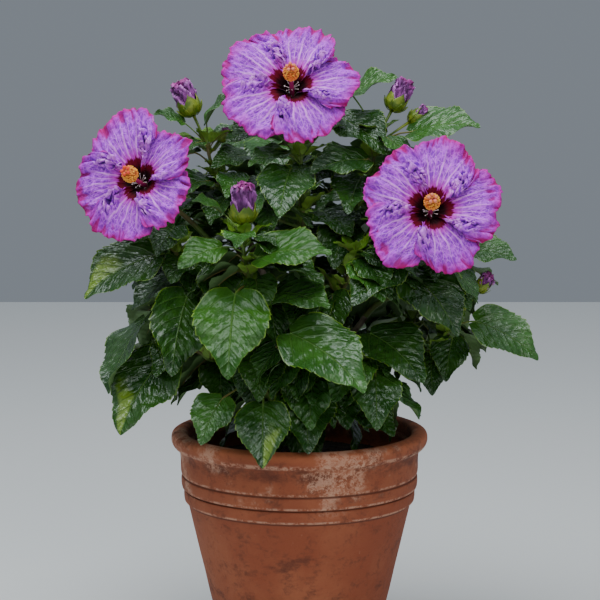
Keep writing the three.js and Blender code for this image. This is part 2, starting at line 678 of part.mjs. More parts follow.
// A thin sheet over a grid of points: one surface twice, moved apart along Z, with a wall round its rim.
function sheetOf(grid, thickness) {
  const [rows, columns] = [grid.length, grid[0].length];
  const half = new THREE.Vector3(0, 0, thickness / 2);
  const surface = grid.flat();
  const below = surface.length;
  const points = [...surface.map((p) => p.clone().add(half)), ...surface.map((p) => p.clone().sub(half))];
  const faces = [];
  for (let i = 0; i + 1 < rows; i++) {
    for (let k = 0; k + 1 < columns; k++) {
      const [a, b] = [i * columns + k, i * columns + k + 1];
      const [c, d] = [b + columns, a + columns];
      faces.push(a, b, c, a, c, d);
      faces.push(below + a, below + c, below + b, below + a, below + d, below + c);
    }
  }
  const rim = [];
  for (let k = 0; k < columns; k++) rim.push(k);
  for (let i = 1; i < rows; i++) rim.push(i * columns + columns - 1);
  for (let k = columns - 2; k >= 0; k--) rim.push((rows - 1) * columns + k);
  for (let i = rows - 2; i > 0; i--) rim.push(i * columns);
  rim.forEach((from, index) => {
    const to = rim[(index + 1) % rim.length];
    faces.push(from, below + from, below + to, from, below + to, to);
  });
  const geometry = new THREE.BufferGeometry().setFromPoints(points);
  geometry.setIndex(faces);
  return solidOf(geometry);
}

function makePetal(bloom, index) {
  const turn = radians(bloom.spin + (360 / PETALS) * index);
  const grid = [];
  for (let i = 0; i <= PETAL_STEPS_LONG; i++) {
    const along = mix(0.04, 1, i / PETAL_STEPS_LONG);
    const row = [];
    for (let k = 0; k <= PETAL_STEPS_WIDE; k++) {
      row.push(petalPoint(bloom, turn, mix(-1, 1, k / PETAL_STEPS_WIDE), along));
    }
    grid.push(row);
  }
  return sheetOf(grid, PETAL_THICKNESS);
}

// A bloom with its calyx, column and the twig that carries it.
function makeBloom(shoot) {
  const { bloom } = shoot;
  const length = COLUMN_LENGTH * bloom.size;
  const pieces = [
    turned([
      [0, -CALYX_LENGTH], [3.5, -CALYX_LENGTH], [CALYX_RADIUS, -8], [CALYX_RADIUS + 1, 4], [6, 9], [0, 9],
    ], 10),
    turned([[0, 4], [3.2, 4], [2, length - 10], [0, length - 10]], 6),
    turned([
      [0, length - 22], [ANTHER_RADIUS * 0.7, length - 18], [ANTHER_RADIUS, length - 10],
      [ANTHER_RADIUS * 0.75, length - 3], [0, length],
    ], 8),
  ].map(solidOf);
  for (let index = 0; index < PETALS; index++) pieces.push(makePetal(bloom, index));
  const flower = wasm.Manifold.union(pieces);
  const turnTo = new THREE.Quaternion().setFromUnitVectors(new THREE.Vector3(0, 0, 1), bloomAxis(bloom));
  const placed = geometryOf(flower).applyQuaternion(turnTo).translate(...bloom.at);
  const twig = limb(shoot.stem, (share) => mix(BOUGH_TIP_RADIUS, BLOOM_STEM_RADIUS, share), 5);
  return wholeBody(solidOf(placed).add(twig));
}

function makeBough(shoot, seat) {
  const radiusAt = (share) => mix(BOUGH_RADIUS, BOUGH_TIP_RADIUS, share);
  return wholeBody(limb(shoot.bough, radiusAt, 5).subtract(seat));
}

const group = new THREE.Group();
const placedSolids = [];

function show(name, solid, look) {
  const mesh = new THREE.Mesh(geometryOf(solid), new THREE.MeshStandardMaterial(COLOURS[look]));
  mesh.name = name;
  group.add(mesh);
  placedSolids.push(solid);
}

// Leaves that still touch another mass or a limb are left out of the mass.
function clearOf(solid, others) {
  return others.every((other) => solid.minGap(other, 2 * CLEAR) >= CLEAR);
}

show("pot", makePot(), "pot");
show("soil", makeSoil(), "soil");
show("trunk", makeTrunk(0), "wood");

// What the boughs are cut by: the trunk grown by the gap, and the same moved on past its tip.
const seatMargin = CLEAR + 2 * SLIVER;
const grownTrunk = makeTrunk(seatMargin);
const pastTip = trunkCurve.getTangentAt(1).multiplyScalar(seatMargin);
const seat = grownTrunk.add(grownTrunk.translate(pastTip.toArray()));
for (const shoot of shoots) {
  if (shoot.bough) show(`bough_${shoot.name}`, makeBough(shoot, seat), "wood");
}
for (const shoot of shoots) {
  if (shoot.bloom) show(`bloom_${shoot.name.replace("_bloom", "")}`, makeBloom(shoot), "bloom");
}

const made = masses.map((mass) => ({ mass, ...makeMass(mass) }));
const masts = made.map(({ mass, wood }) => {
  const joined = wasm.Manifold.union(wood);
  return mass.bough ? joined : wholeBody(joined.subtract(seat));
});
made.forEach(({ mass, leaves }, index) => {
  const others = [...placedSolids, ...masts.slice(index + 1)];
  const kept = leaves.filter((leaf) => clearOf(leaf, others));
  show(`foliage_${mass.name}`, wholeBody(wasm.Manifold.union([masts[index], ...kept])), "foliage");
});

export default group;
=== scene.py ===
import math

import bmesh
import bpy
import numpy as np
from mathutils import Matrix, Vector, noise


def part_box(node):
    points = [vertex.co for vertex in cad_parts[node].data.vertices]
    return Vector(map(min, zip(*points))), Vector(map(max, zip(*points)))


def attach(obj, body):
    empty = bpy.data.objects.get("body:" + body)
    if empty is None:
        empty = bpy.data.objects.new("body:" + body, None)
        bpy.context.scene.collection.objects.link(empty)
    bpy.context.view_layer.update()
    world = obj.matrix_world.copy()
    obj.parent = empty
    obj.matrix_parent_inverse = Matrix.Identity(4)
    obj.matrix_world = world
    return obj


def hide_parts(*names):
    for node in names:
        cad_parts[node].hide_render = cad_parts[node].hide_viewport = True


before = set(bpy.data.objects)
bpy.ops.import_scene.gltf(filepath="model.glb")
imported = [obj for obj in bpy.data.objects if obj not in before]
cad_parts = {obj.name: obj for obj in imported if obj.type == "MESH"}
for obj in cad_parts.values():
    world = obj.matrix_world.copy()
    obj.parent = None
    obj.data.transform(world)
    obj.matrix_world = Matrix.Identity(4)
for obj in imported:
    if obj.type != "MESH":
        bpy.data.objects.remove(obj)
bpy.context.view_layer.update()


# The camera stands well back from the plant, a little higher than its blooms, and looks slightly down on it.
# Its place and lens give the pot's rim and the blooms the size and tilt that they have in the photograph.
CAMERA_PLACE = (0.0007, -2.5335, 0.7634)
CAMERA_DOWN = math.radians(7.8)
CAMERA_LENS = 132


def linked(name, data):
    """A new object of the scene."""
    made = bpy.data.objects.new(name, data)
    bpy.context.scene.collection.objects.link(made)
    return made


camera = linked("camera", bpy.data.cameras.new("camera"))
camera.data.lens = CAMERA_LENS
camera.location = CAMERA_PLACE
camera.rotation_euler = (math.pi / 2 - CAMERA_DOWN, 0, 0)
bpy.context.scene.camera = camera


# The pot: terracotta, thrown on a wheel with a rolled rim, a plain collar and two beads, and fired unglazed.
# Lime from the soil has whitened its rim and beads. It stands on a flat foot with three drainage holes.
MM = 0.001
POT_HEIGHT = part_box("pot")[1].z / MM
RIM_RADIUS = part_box("pot")[1].x / MM
SOIL_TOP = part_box("soil")[1].z / MM
FOOT_RADIUS = 90
WALL_SLOPE = 0.2265
WALL = 13
BEADS_START = 180
BEAD_HEIGHT = 16
BEAD_STEP = 3.6
BEAD_BULGE = 1.6
COLLAR_RADIUS = 139.5
RIM_START = 237
MOUTH_RADIUS = 130
DRAIN_RADIUS = 7
DRAIN_CIRCLE = 46
DRAIN_TURNS = (60, 180, 300)
POT_SIDES = 168
POT_SPACING = 2.6
POT_WOBBLE = 0.35
CLAY = (0.29, 0.066, 0.024)
CLAY_PALE = (0.37, 0.105, 0.042)
CLAY_DARK = (0.11, 0.027, 0.012)
LIME = (0.62, 0.36, 0.24)
CLAY_RIM_HIGHLIGHT = (0.48, 0.135, 0.05)
COVE = 0.2385
RIM_EDGE = 0.2475
GROOVES = (0.1795, 0.196, 0.212)


class Wire:
    """One output of a tree's nodes. A sum or a product of wires adds the Math nodes that it needs."""

    def __init__(self, nodes, socket):
        self.nodes, self.socket = nodes, socket

    def math(self, operation, *values):
        return self.nodes.add("ShaderNodeMath", {"operation": operation}, dict(enumerate(values)))

    def __add__(self, other):
        return self.math("ADD", self, other)

    def __radd__(self, other):
        return self.math("ADD", other, self)

    def __sub__(self, other):
        return self.math("SUBTRACT", self, other)

    def __rsub__(self, other):
        return self.math("SUBTRACT", other, self)

    def __mul__(self, other):
        return self.math("MULTIPLY", self, other)

    def __rmul__(self, other):
        return self.math("MULTIPLY", other, self)

    def __truediv__(self, other):
        return self.math("DIVIDE", self, other)

    def __pow__(self, other):
        return self.math("POWER", self, other)

    def sin(self):
        return self.math("SINE", self)

    def abs(self):
        return self.math("ABSOLUTE", self)

    def fraction(self):
        return self.math("FRACT", self)

    def at_most(self, limit):
        return self.math("MINIMUM", self, limit)

    def at_least(self, limit):
        return self.math("MAXIMUM", self, limit)

    def ramp(self, low, high):
        """0 below low and 1 above high, or the other way round where low is the larger."""
        if low > high:
            return 1 - self.ramp(high, low)
        sockets = {"Value": self, "From Min": low, "From Max": high}
        return self.nodes.add("ShaderNodeMapRange", {"interpolation_type": "SMOOTHSTEP"}, sockets)


class Nodes:
    """The nodes of one tree. add makes any node from its settings and the values or links of its sockets."""

    def __init__(self, tree):
        self.tree = tree

    def add(self, kind, settings=None, sockets=None, output=0):
        node = self.tree.nodes.new(kind)
        for name, value in (settings or {}).items():
            setattr(node, name, value)
        for name, value in (sockets or {}).items():
            if isinstance(value, Wire):
                self.tree.links.new(value.socket, node.inputs[name])
            else:
                node.inputs[name].default_value = value
        return Wire(self, node.outputs[output]) if len(node.outputs) else None


class Finish(Nodes):
    """A material with one shader. Its constants are set on the shader's own sockets."""

    def __init__(self, name, **constants):
        self.material = bpy.data.materials.new(name)
        self.material.use_nodes = True
        super().__init__(self.material.node_tree)
        self.shader = self.tree.nodes["Principled BSDF"]
        for key, value in constants.items():
            self.shader.inputs[key.replace("_", " ").title().replace("Ior", "IOR")].default_value = value

    def colour(self, share, first, second):
        """The first colour where share is 0 and the second where it is 1."""
        first, second = (value if isinstance(value, Wire) else (*value, 1) for value in (first, second))
        return self.add("ShaderNodeMix", {"data_type": "RGBA"}, {0: share, 6: first, 7: second}, output=2)

    def place(self):
        return self.add("ShaderNodeTexCoord", output="Object")

    def across_and_along(self, layer):
        """The two coordinates of a UV layer."""
        place = self.add("ShaderNodeUVMap", {"uv_map": layer})
        split = self.add("ShaderNodeSeparateXYZ", sockets={"Vector": place})
        return split, Wire(self, split.socket.node.outputs["Y"])

    def noise(self, vector, scale, detail=3.0, roughness=0.55, stretch=None):
        if stretch:
            vector = self.add("ShaderNodeMapping", sockets={"Vector": vector, "Scale": stretch})
        sockets = {"Vector": vector, "Scale": scale, "Detail": detail, "Roughness": roughness}
        return self.add("ShaderNodeTexNoise", sockets=sockets)

    def feed(self, **links):
        for key, wire in links.items():
            self.tree.links.new(wire.socket, self.shader.inputs[key.replace("_", " ").title()])

    def bump(self, height, strength, distance):
        sockets = {"Height": height, "Strength": strength, "Distance": distance}
        self.feed(normal=self.add("ShaderNodeBump", sockets=sockets))


def make_object(name, points, faces, materials):
    """A smooth mesh object from points in millimetres."""
    mesh = bpy.data.meshes.new(name)
    mesh.from_pydata((np.asarray(points) * MM).tolist(), [], faces)
    for material in materials:
        mesh.materials.append(material)
    mesh.validate()
    mesh.polygons.foreach_set("use_smooth", [True] * len(mesh.polygons))
    return linked(name, mesh)


def evaluated(source, name):
    """The plain mesh that an object's modifiers make, as a new object in its place."""
    mesh = bpy.data.meshes.new_from_object(source.evaluated_get(bpy.context.evaluated_depsgraph_get()))
    bpy.data.objects.remove(source)
    return linked(name, mesh)


def rounded(profile, times):
    """A profile with its corners cut, which leaves its ends where they are."""
    for _ in range(times):
        cut = [profile[0]]
        for a, b in zip(profile, profile[1:]):
            cut.append(a * 0.75 + b * 0.25)
            cut.append(a * 0.25 + b * 0.75)
        profile = [*cut, profile[-1]]
    return profile


def spaced(profile, spacing):
    """The same profile with no two points further apart than the spacing."""
    points = [profile[0]]
    for a, b in zip(profile, profile[1:]):
        steps = max(1, math.ceil(np.linalg.norm(b - a) / spacing))
        points += [a + (b - a) * i / steps for i in range(1, steps + 1)]
    return points


def wall_at(height):
    return FOOT_RADIUS + WALL_SLOPE * height


def bead(start, foot, head):
    """The round outside of a bead, from its foot to its head."""
    points = []
    for share in np.linspace(0.08, 0.92, 7):
        radius = foot + (head - foot) * share + BEAD_BULGE * math.sin(math.pi * share) ** 0.5
        points.append((radius, start + BEAD_HEIGHT * share))
    return points


def pot_profile():
    first = BEADS_START + BEAD_HEIGHT
    second = first + BEAD_HEIGHT
    bead_foot = wall_at(BEADS_START) + BEAD_STEP - 1
    outside = [
        (FOOT_RADIUS - 6, 0), (FOOT_RADIUS - 3, 0), (FOOT_RADIUS, 4),
        (wall_at(BEADS_START - 6), BEADS_START - 6), (wall_at(BEADS_START), BEADS_START),
        *bead(BEADS_START, bead_foot, bead_foot + 0.8), (bead_foot - 0.4, first),
        *bead(first, bead_foot + 3, bead_foot + 4), (bead_foot + 2.6, second),
        (COLLAR_RADIUS - 0.5, second + 3), (COLLAR_RADIUS - 0.5, RIM_START - 5),
        (COLLAR_RADIUS + 0.5, RIM_START + 3), (COLLAR_RADIUS + 3, RIM_START + 7),
        (RIM_RADIUS - 3.5, RIM_START + 9), (RIM_RADIUS, RIM_START + 15), (RIM_RADIUS - 0.4, RIM_START + 23),
        (RIM_RADIUS - 3.5, POT_HEIGHT - 2), (RIM_RADIUS - 10, POT_HEIGHT),
        (MOUTH_RADIUS + 2, POT_HEIGHT - 2), (MOUTH_RADIUS, POT_HEIGHT - 9), (MOUTH_RADIUS - 4, SOIL_TOP),
        (wall_at(BEADS_START) - WALL, BEADS_START), (FOOT_RADIUS + 4 - WALL, WALL + 3), (6, WALL + 3),
    ]
    outside = rounded([np.array(p) for p in outside], 2)
    return [np.array((0.0, 0.0)), *spaced(outside, POT_SPACING), np.array((0.0, WALL + 3.0))]


def round_faces(start, rings, sides, foot, tip):
    """The faces round a stack of rings of points, closed by a single point at its foot and at its tip."""
    faces = []
    for low in range(start, start + (rings - 1) * sides, sides):
        high = low + sides
        faces += [(low + k, low + (k + 1) % sides, high + (k + 1) % sides, high + k) for k in range(sides)]
    last = start + (rings - 1) * sides
    faces += [(foot, start + (k + 1) % sides, start + k) for k in range(sides)]
    return faces + [(tip, last + k, last + (k + 1) % sides) for k in range(sides)]


def turned(profile, sides):
    """Points and faces of a profile turned about the upright axis, on which its two ends lie."""
    angles = np.linspace(0, 2 * math.pi, sides, endpoint=False)
    points = [(0, 0, profile[0][1])]
    for radius, height in profile[1:-1]:
        points += [(radius * math.cos(a), radius * math.sin(a), height) for a in angles]
    points.append((0, 0, profile[-1][1]))
    return np.array(points), round_faces(1, len(profile) - 2, sides, 0, len(points) - 1)


def clay_finish():
    finish = Finish("terracotta", roughness=0.82)
    place = finish.place()
    height = finish.add("ShaderNodeSeparateXYZ", sockets={"Vector": place}, output="Z")
    aside = finish.add("ShaderNodeVectorMath", {"operation": "SUBTRACT"}, {0: place, 1: (0.12, 0, 0)})
    broad = finish.noise(aside, 8, detail=6, roughness=0.6)
    fine = finish.noise(place, 75, detail=6, roughness=0.75)
    grit = finish.noise(place, 380, detail=4, roughness=0.75)
    stains = finish.noise(place, 21, detail=8, roughness=0.72, stretch=(1, 1, 1.5))
    base = finish.colour(broad.ramp(0.38, 0.62), CLAY, CLAY_PALE)
    # Painted highlight: the upper part of the rolled rim, up to its top, is made paler, as where the sky
    # lights it.
    base = finish.colour(height.ramp(0.249, 0.262) * 0.7, base, CLAY_RIM_HIGHLIGHT)
    base = finish.colour(fine.ramp(0.5, 0.7) * 0.55, base, CLAY_DARK)
    base = finish.colour(stains.ramp(0.53, 0.66) * (0.25 + grit * 0.9), base, CLAY_DARK)
    # Painted shade: the cove under the rolled rim is darkened, in patches that follow the stains.
    cove_shade = (height - COVE).abs().ramp(0.013, 0.003)
    base = finish.colour(cove_shade * (stains + fine * 0.5).ramp(0.62, 0.85) * 0.75, base, CLAY_DARK)
    groove_shade, worn = 0, (height - RIM_EDGE).abs().ramp(0.004, 0.0012)
    for level in GROOVES:
        groove_shade = (height - level).abs().ramp(0.0018, 0.0004) + groove_shade
        worn = (height - level - 0.0026).abs().ramp(0.0022, 0.0006) + worn
    upper = height.ramp(0.178, 0.2)
    chalk = (broad * 0.75 + stains * 0.25).ramp(0.52, 0.58) * (fine * 0.6 + grit * 0.4).ramp(0.56, 0.46)
    lines = worn * (fine * 0.5 + grit * 0.3 + broad * 0.2).ramp(0.53, 0.46)
    base = finish.colour(chalk * upper * 0.68, base, LIME)
    base = finish.colour(lines.at_most(1.0) * 0.65, base, LIME)
    base = finish.colour(fine.ramp(0.35, 0.27) * grit.ramp(0.5, 0.6) * 0.5, base, LIME)
    # Painted shade: the grooves between the beads and the collar are darkened.
    base = finish.colour(groove_shade.at_most(1.0) * 0.8, base, CLAY_DARK)
    finish.feed(base_color=base)
    rings = finish.noise(place, 1.0, detail=2, stretch=(3, 3, 420))
    finish.bump(rings * 0.3 + fine * 1.6 + grit * 0.5, 0.7, 0.0012)
    return finish.material


def make_pot():
    points, faces = turned(pot_profile(), POT_SIDES)
    for i, (x, y, z) in enumerate(points):
        radius = math.hypot(x, y)
        if radius > 8:
            wobble = POT_WOBBLE * noise.noise(Vector((x, y, z * 1.6)) * 0.021)
            points[i, :2] *= 1 + wobble / radius
    body = make_object("pot_body", points, faces, [clay_finish()])
    cutters = []
    for turn in np.radians(DRAIN_TURNS):
        bpy.ops.mesh.primitive_cylinder_add(radius=DRAIN_RADIUS * MM, depth=3 * WALL * MM, vertices=32)
        cutter = bpy.context.object
        cutter.location = (DRAIN_CIRCLE * MM * math.sin(turn), -DRAIN_CIRCLE * MM * math.cos(turn), 0)
        hole = body.modifiers.new("hole", "BOOLEAN")
        hole.operation, hole.object = "DIFFERENCE", cutter
        cutters.append(cutter)
    pot = evaluated(body, "terracotta_pot")
    for cutter in cutters:
        bpy.data.objects.remove(cutter)
    return pot


pot = make_pot()
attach(pot, "root")
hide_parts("pot")


# The soil: a dark, damp potting mix of peat and bark, filled to a little under the rim and lumpy on top.
# It fills the pot down to its floor.
SOIL_RADIUS = 124.5
SOIL_RINGS = 44
SOIL_SIDES = 132
SOIL_LUMPS = 3.2
SOIL_DARK = (0.012, 0.008, 0.006)
SOIL_BROWN = (0.042, 0.024, 0.014)


def mottled(name, roughness, scale, detail, reach, colours, relief=None, grain=0.55):
    """A finish of two colours in soft patches, with a relief that follows the patches."""
    finish = Finish(name, roughness=roughness)
    patches = finish.noise(finish.place(), scale, detail, grain)
    finish.feed(base_color=finish.colour(patches.ramp(*reach), *colours))
    if relief:
        finish.bump(patches, *relief)
    return finish.material


def soil_height(x, y):
    broad = noise.noise(Vector((x, y, 0)) * 0.028)
    lumps = noise.noise(Vector((x, y, 7)) * 0.12)
    return SOIL_TOP - 3 + SOIL_LUMPS * (0.8 * broad + 0.55 * lumps)


def make_soil():
    foot = (FOOT_RADIUS + 4 - WALL - 0.6, WALL + 3.3)
    edge = (wall_at(BEADS_START) - WALL - 0.8, BEADS_START)
    profile = [(0, foot[1]), foot, edge, (SOIL_RADIUS, SOIL_TOP - 5)]
    profile += [(SOIL_RADIUS * (1 - i / SOIL_RINGS), SOIL_TOP) for i in range(1, SOIL_RINGS)]
    profile.append((0, SOIL_TOP))
    points, faces = turned([np.array(p, float) for p in profile], SOIL_SIDES)
    for i, (x, y, z) in enumerate(points):
        if z > SOIL_TOP - 1:
            points[i, 2] = soil_height(x, y)
    colours = (SOIL_DARK, SOIL_BROWN)
    finish = mottled("potting_soil", 0.95, 140, 6, (0.4, 0.66), colours, (0.9, 0.003), 0.7)
    return make_object("potting_soil", points, faces, [finish])


soil = make_soil()
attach(soil, "root")
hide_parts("soil")


# The crumbs: bits of peat and composted bark that lie loose on the soil, one angular shape in many sizes.
# They are scattered over the soil's top and a third sunk in it.
CRUMB_SIZE = 2.4
CRUMB_DENSITY = 26000
CRUMB_SEED = 4
CRUMB_RINGS = 24
CRUMB_SIDES = 72
FULL_TURN = 6.3
CRUMB = (0.05, 0.03, 0.018)


class Scatter(Nodes):
    """A Geometry Nodes tree that sets one small shape all over the faces of its host, in many sizes."""

    def __init__(self, name):
        super().__init__(bpy.data.node_groups.new(name, "GeometryNodeTree"))
        ports, self.names = self.tree.interface, {}
        for label, kind in (("Host", "Geometry"), ("Density", "Float"), ("Size", "Float"), ("Seed", "Int")):
            socket = ports.new_socket(label, in_out="INPUT", socket_type=f"NodeSocket{kind}")
            self.names[label] = socket.identifier
        ports.new_socket("Scattered", in_out="OUTPUT", socket_type="NodeSocketGeometry")
        given = self.add("NodeGroupInput").socket.node.outputs
        self.host, self.density, self.size, self.seed = (Wire(self, given[label]) for label in self.names)

    def random(self, least, most, seed):
        """Three random numbers for every point, between two bounds."""
        sockets = {0: least, 1: most, "Seed": seed}
        return self.add("FunctionNodeRandomValue", {"data_type": "FLOAT_VECTOR"}, sockets)

    def set_out(self, points, shape, turn, stretch, material):
        """Sets the shape on every point, turned and stretched, and ends the tree in plain painted faces."""
        scale = self.add("ShaderNodeVectorMath", {"operation": "SCALE"}, {0: stretch, "Scale": self.size})
        sockets = {"Points": points, "Instance": shape, "Rotation": turn, "Scale": scale}
        placed = self.add("GeometryNodeInstanceOnPoints", sockets=sockets)
        real = self.add("GeometryNodeRealizeInstances", sockets={"Geometry": placed})
        painted = self.add("GeometryNodeSetMaterial", sockets={"Geometry": real, "Material": material})
        self.add("NodeGroupOutput", sockets={"Scattered": painted})

    def grown(self, host, name, density, size, seed):
        """The plain mesh that the tree makes of its host, with its inputs set by their identifiers."""
        modifier = host.modifiers.new("grow", "NODES")
        modifier.node_group = self.tree
        for label, value in (("Density", density), ("Size", size), ("Seed", seed)):
            modifier[self.names[label]] = value
        return evaluated(host, name)


def make_crumbs():
    radii = [SOIL_RADIUS * share for share in np.linspace(0.16, 0.985, CRUMB_RINGS)]
    angles = np.linspace(0, 2 * math.pi, CRUMB_SIDES, endpoint=False)
    flat = [(r * math.cos(a), r * math.sin(a)) for r in radii for a in angles]
    faces = []
    for low in range(0, (CRUMB_RINGS - 1) * CRUMB_SIDES, CRUMB_SIDES):
        high = low + CRUMB_SIDES
        for k in range(CRUMB_SIDES):
            after = (k + 1) % CRUMB_SIDES
            faces.append((low + k, high + k, high + after, low + after))
    ground = make_object("ground", [(x, y, soil_height(x, y)) for x, y in flat], faces, [])
    finish = Finish("crumbs", roughness=0.9, base_color=(*CRUMB, 1))
    nodes = Scatter("crumbs")
    sockets = {"Mesh": nodes.host, "Density": nodes.density, "Seed": nodes.seed}
    points = nodes.add("GeometryNodeDistributePointsOnFaces", sockets=sockets)
    crumb = nodes.add("GeometryNodeMeshIcoSphere", sockets={"Radius": 1.0, "Subdivisions": 1})
    turn = nodes.random((0, 0, 0), (FULL_TURN, FULL_TURN, FULL_TURN), nodes.seed)
    stretch = nodes.random((0.25, 0.2, 0.15), (1.3, 0.8, 0.6), nodes.seed + 1)
    nodes.set_out(points, crumb, turn, stretch, finish.material)
    return nodes.grown(ground, "soil_crumbs", CRUMB_DENSITY, CRUMB_SIZE * MM, CRUMB_SEED)


crumbs = make_crumbs()
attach(crumbs, "root")


# The way the shrub grows. Each shoot leaves the trunk at a share of its height, runs as a bough to its knee
# and goes on as a green stem to its tip or its bloom. All of it is living wood and leaf, rooted in the soil.
TRUNK_FOOT = (0, 0, 223)
TRUNK_BEND = (9, -4, 330)
TRUNK_TIP = (-1, 3, 424)
TRUNK_RADIUS = 11.5
CLEAR = 0.3
STEM_STEPS = 5
BOUGH_STEPS = 4
TWIG_STEPS = 3
TWIG_FIRST, TWIG_GAP = 0.24, 0.26
TWIG_TURNS = (55, 85)
TWIG_LENGTHS = (52, 70)
TWIG_RISES = (28, 52)
DOT_SPACING = 7
CALYX_LENGTH = 24
FRONT, RIGHT, LEFT = 0, 90, -90
SHOOTS = [
    # Name, share up the trunk, knee, tip, seed, twigs, leaves, length of a leaf
    ("front_low", 0.17, None, (-45, -98, 350), 11, 0, 6, 76),
    ("front_middle", 0.225, None, (14, -112, 385), 23, 0, 7, 80),
    ("front_right", 0.27, (42, -42, 300), (84, -84, 362), 29, 0, 7, 76),
    ("back_low", 0.19, None, (14, 112, 372), 31, 2, 12, 84),
    ("low_left", 0.28, (-62, -38, 322), (-144, -70, 412), 43, 1, 9, 84),
    ("low_right", 0.32, (70, -26, 330), (170, -46, 388), 59, 1, 9, 74),
    ("back_left_low", 0.35, (-62, 50, 330), (-146, 104, 404), 61, 2, 12, 86),
    ("back_right_low", 0.385, (64, 48, 330), (150, 98, 404), 79, 2, 12, 86),
    ("front", 0.42, (-32, -60, 384), (-62, -138, 508), 83, 1, 8, 70),
    ("centre_right", 0.45, (34, -56, 400), (62, -108, 486), 97, 0, 8, 78),
    ("left", 0.5, (-70, -34, 410), (-142, -66, 490), 101, 1, 9, 78),
    ("right", 0.55, (76, -32, 402), (168, -62, 478), 113, 1, 9, 78),
    ("back_left_high", 0.59, (-58, 46, 440), (-112, 96, 540), 127, 2, 12, 82),
    ("back_right_high", 0.63, (58, 48, 440), (116, 92, 548), 139, 2, 12, 82),
    ("left_bloom", 0.68, (-74, -40, 452)),
    ("right_bloom", 0.73, (76, -44, 442)),
    ("upper_left", 0.78, (-56, -26, 486), (-104, -46, 604), 149, 1, 8, 66),
    ("upper_right", 0.82, (54, -24, 492), (88, -46, 614), 151, 0, 9, 72),
    ("centre", 0.9, (4, -46, 480), (2, -62, 590), 163, 1, 9, 74),
    ("back_top", 0.9, (4, 40, 486), (2, 84, 620), 173, 2, 13, 76),
    ("top_bloom", 1, (-2, -8, 500)),
]
BLOOMS = {
    "left_bloom": {"at": (-169, -100, 557), "turn": -22, "rise": 22, "size": 0.93, "spin": 95},
    "right_bloom": {"at": (143, -126, 526), "turn": 0, "rise": 25, "size": 0.97, "spin": 75},
    "top_bloom": {"at": (-8, -58, 655), "turn": -2, "rise": 36, "size": 0.955, "spin": 75},
}
BUDS = {
    # Turn, lean, length of the stalk and size of each bud
    "low_right": [(58, 38, 70, 24)],
    "front": [(FRONT, 12, 24, 40)],
    "upper_left": [(LEFT, 24, 42, 37), (RIGHT, 38, 18, 17)],
    "upper_right": [(RIGHT, 27, 38, 35), (RIGHT, 56, 46, 25)],
}
FINE_TWIGS = [
    # The shoot it leaves, the share of the limb where it does, and its tip
    ("back_left_high", 0.45, (-36, 98, 446)), ("back_right_high", 0.45, (38, 100, 452)),
    ("back_top", 0.45, (6, 96, 478)), ("back_top", 0.2, (-4, 88, 430)),
    ("back_left_low", 0.6, (-66, 102, 404)), ("back_right_low", 0.6, (68, 100, 404)),
    ("back_low", 0.5, (-30, 96, 352)), ("left", 0.5, (-104, 8, 456)), ("right", 0.5, (106, 8, 452)),
    ("low_left", 0.6, (-104, 0, 376)), ("low_right", 0.6, (110, 4, 380)), ("centre", 0.4, (22, -76, 500)),
    ("upper_left", 0.5, (-72, -10, 545)), ("upper_right", 0.5, (60, -8, 545)),
]


def random_from(seed):
    """A stream of numbers from 0 to 1 that is the same for the same seed."""
    state, whole = seed, 0xFFFFFFFF
    while True:
        state = (state + 0x6D2B79F5) & whole
        t = ((state ^ (state >> 15)) * (state | 1)) & whole
        t ^= (t + (((t ^ (t >> 7)) * (t | 61)) & whole)) & whole
        yield ((t ^ (t >> 14)) & whole) / 4294967296


def mix(first, second, share):
    return first + (second - first) * share


def smooth(share):
    share = np.clip(share, 0, 1)
    return share * share * (3 - 2 * share)


def heading(turn):
    """The level direction at a turn from the front, counted towards the right."""
    return np.array((math.sin(math.radians(turn)), -math.cos(math.radians(turn)), 0))


def turn_of(direction):
    return math.degrees(math.atan2(direction[0], -direction[1]))


def unit(vector):
    return vector / np.linalg.norm(vector)


class Curve:
    """A Bezier curve that is read at even shares of its length."""

    def __init__(self, *points):
        self.points = [np.array(p, float) for p in points]
        self.shares = np.linspace(0, 1, 201)
        places = np.array([self.place(t) for t in self.shares])
        self.lengths = np.concatenate([[0], np.cumsum(np.linalg.norm(np.diff(places, axis=0), axis=1))])
        self.length = self.lengths[-1]

    def place(self, t):
        points = self.points
        while len(points) > 1:
            points = [a + (b - a) * t for a, b in zip(points, points[1:])]
        return points[0]

    def at(self, share):
        return self.place(np.interp(share * self.length, self.lengths, self.shares))

    def line(self, shares):
        return [self.at(share) for share in shares]

    def leaving(self):
        return unit(self.points[-1] - self.points[-2])


class Path:
    """A limb's middle line: straight runs between even steps along its curve."""

    def __init__(self, curve, steps):
        self.curve, self.steps = curve, steps
        self.points = curve.line(i / steps for i in range(steps + 1))

    def at(self, share):
        i = min(self.steps - 1, int(share * self.steps))
        return mix(self.points[i], self.points[i + 1], share * self.steps - i)

    def dotted(self):
        steps = math.ceil(self.curve.length / DOT_SPACING)
        return np.array([self.at(i / steps) for i in range(steps + 1)])


def rising_curve(start, end):
    run = end - start
    bend = start + run * 0.5 + np.array((run[0], run[1], -run[2])) * 0.16
    return Curve(start, bend, end)


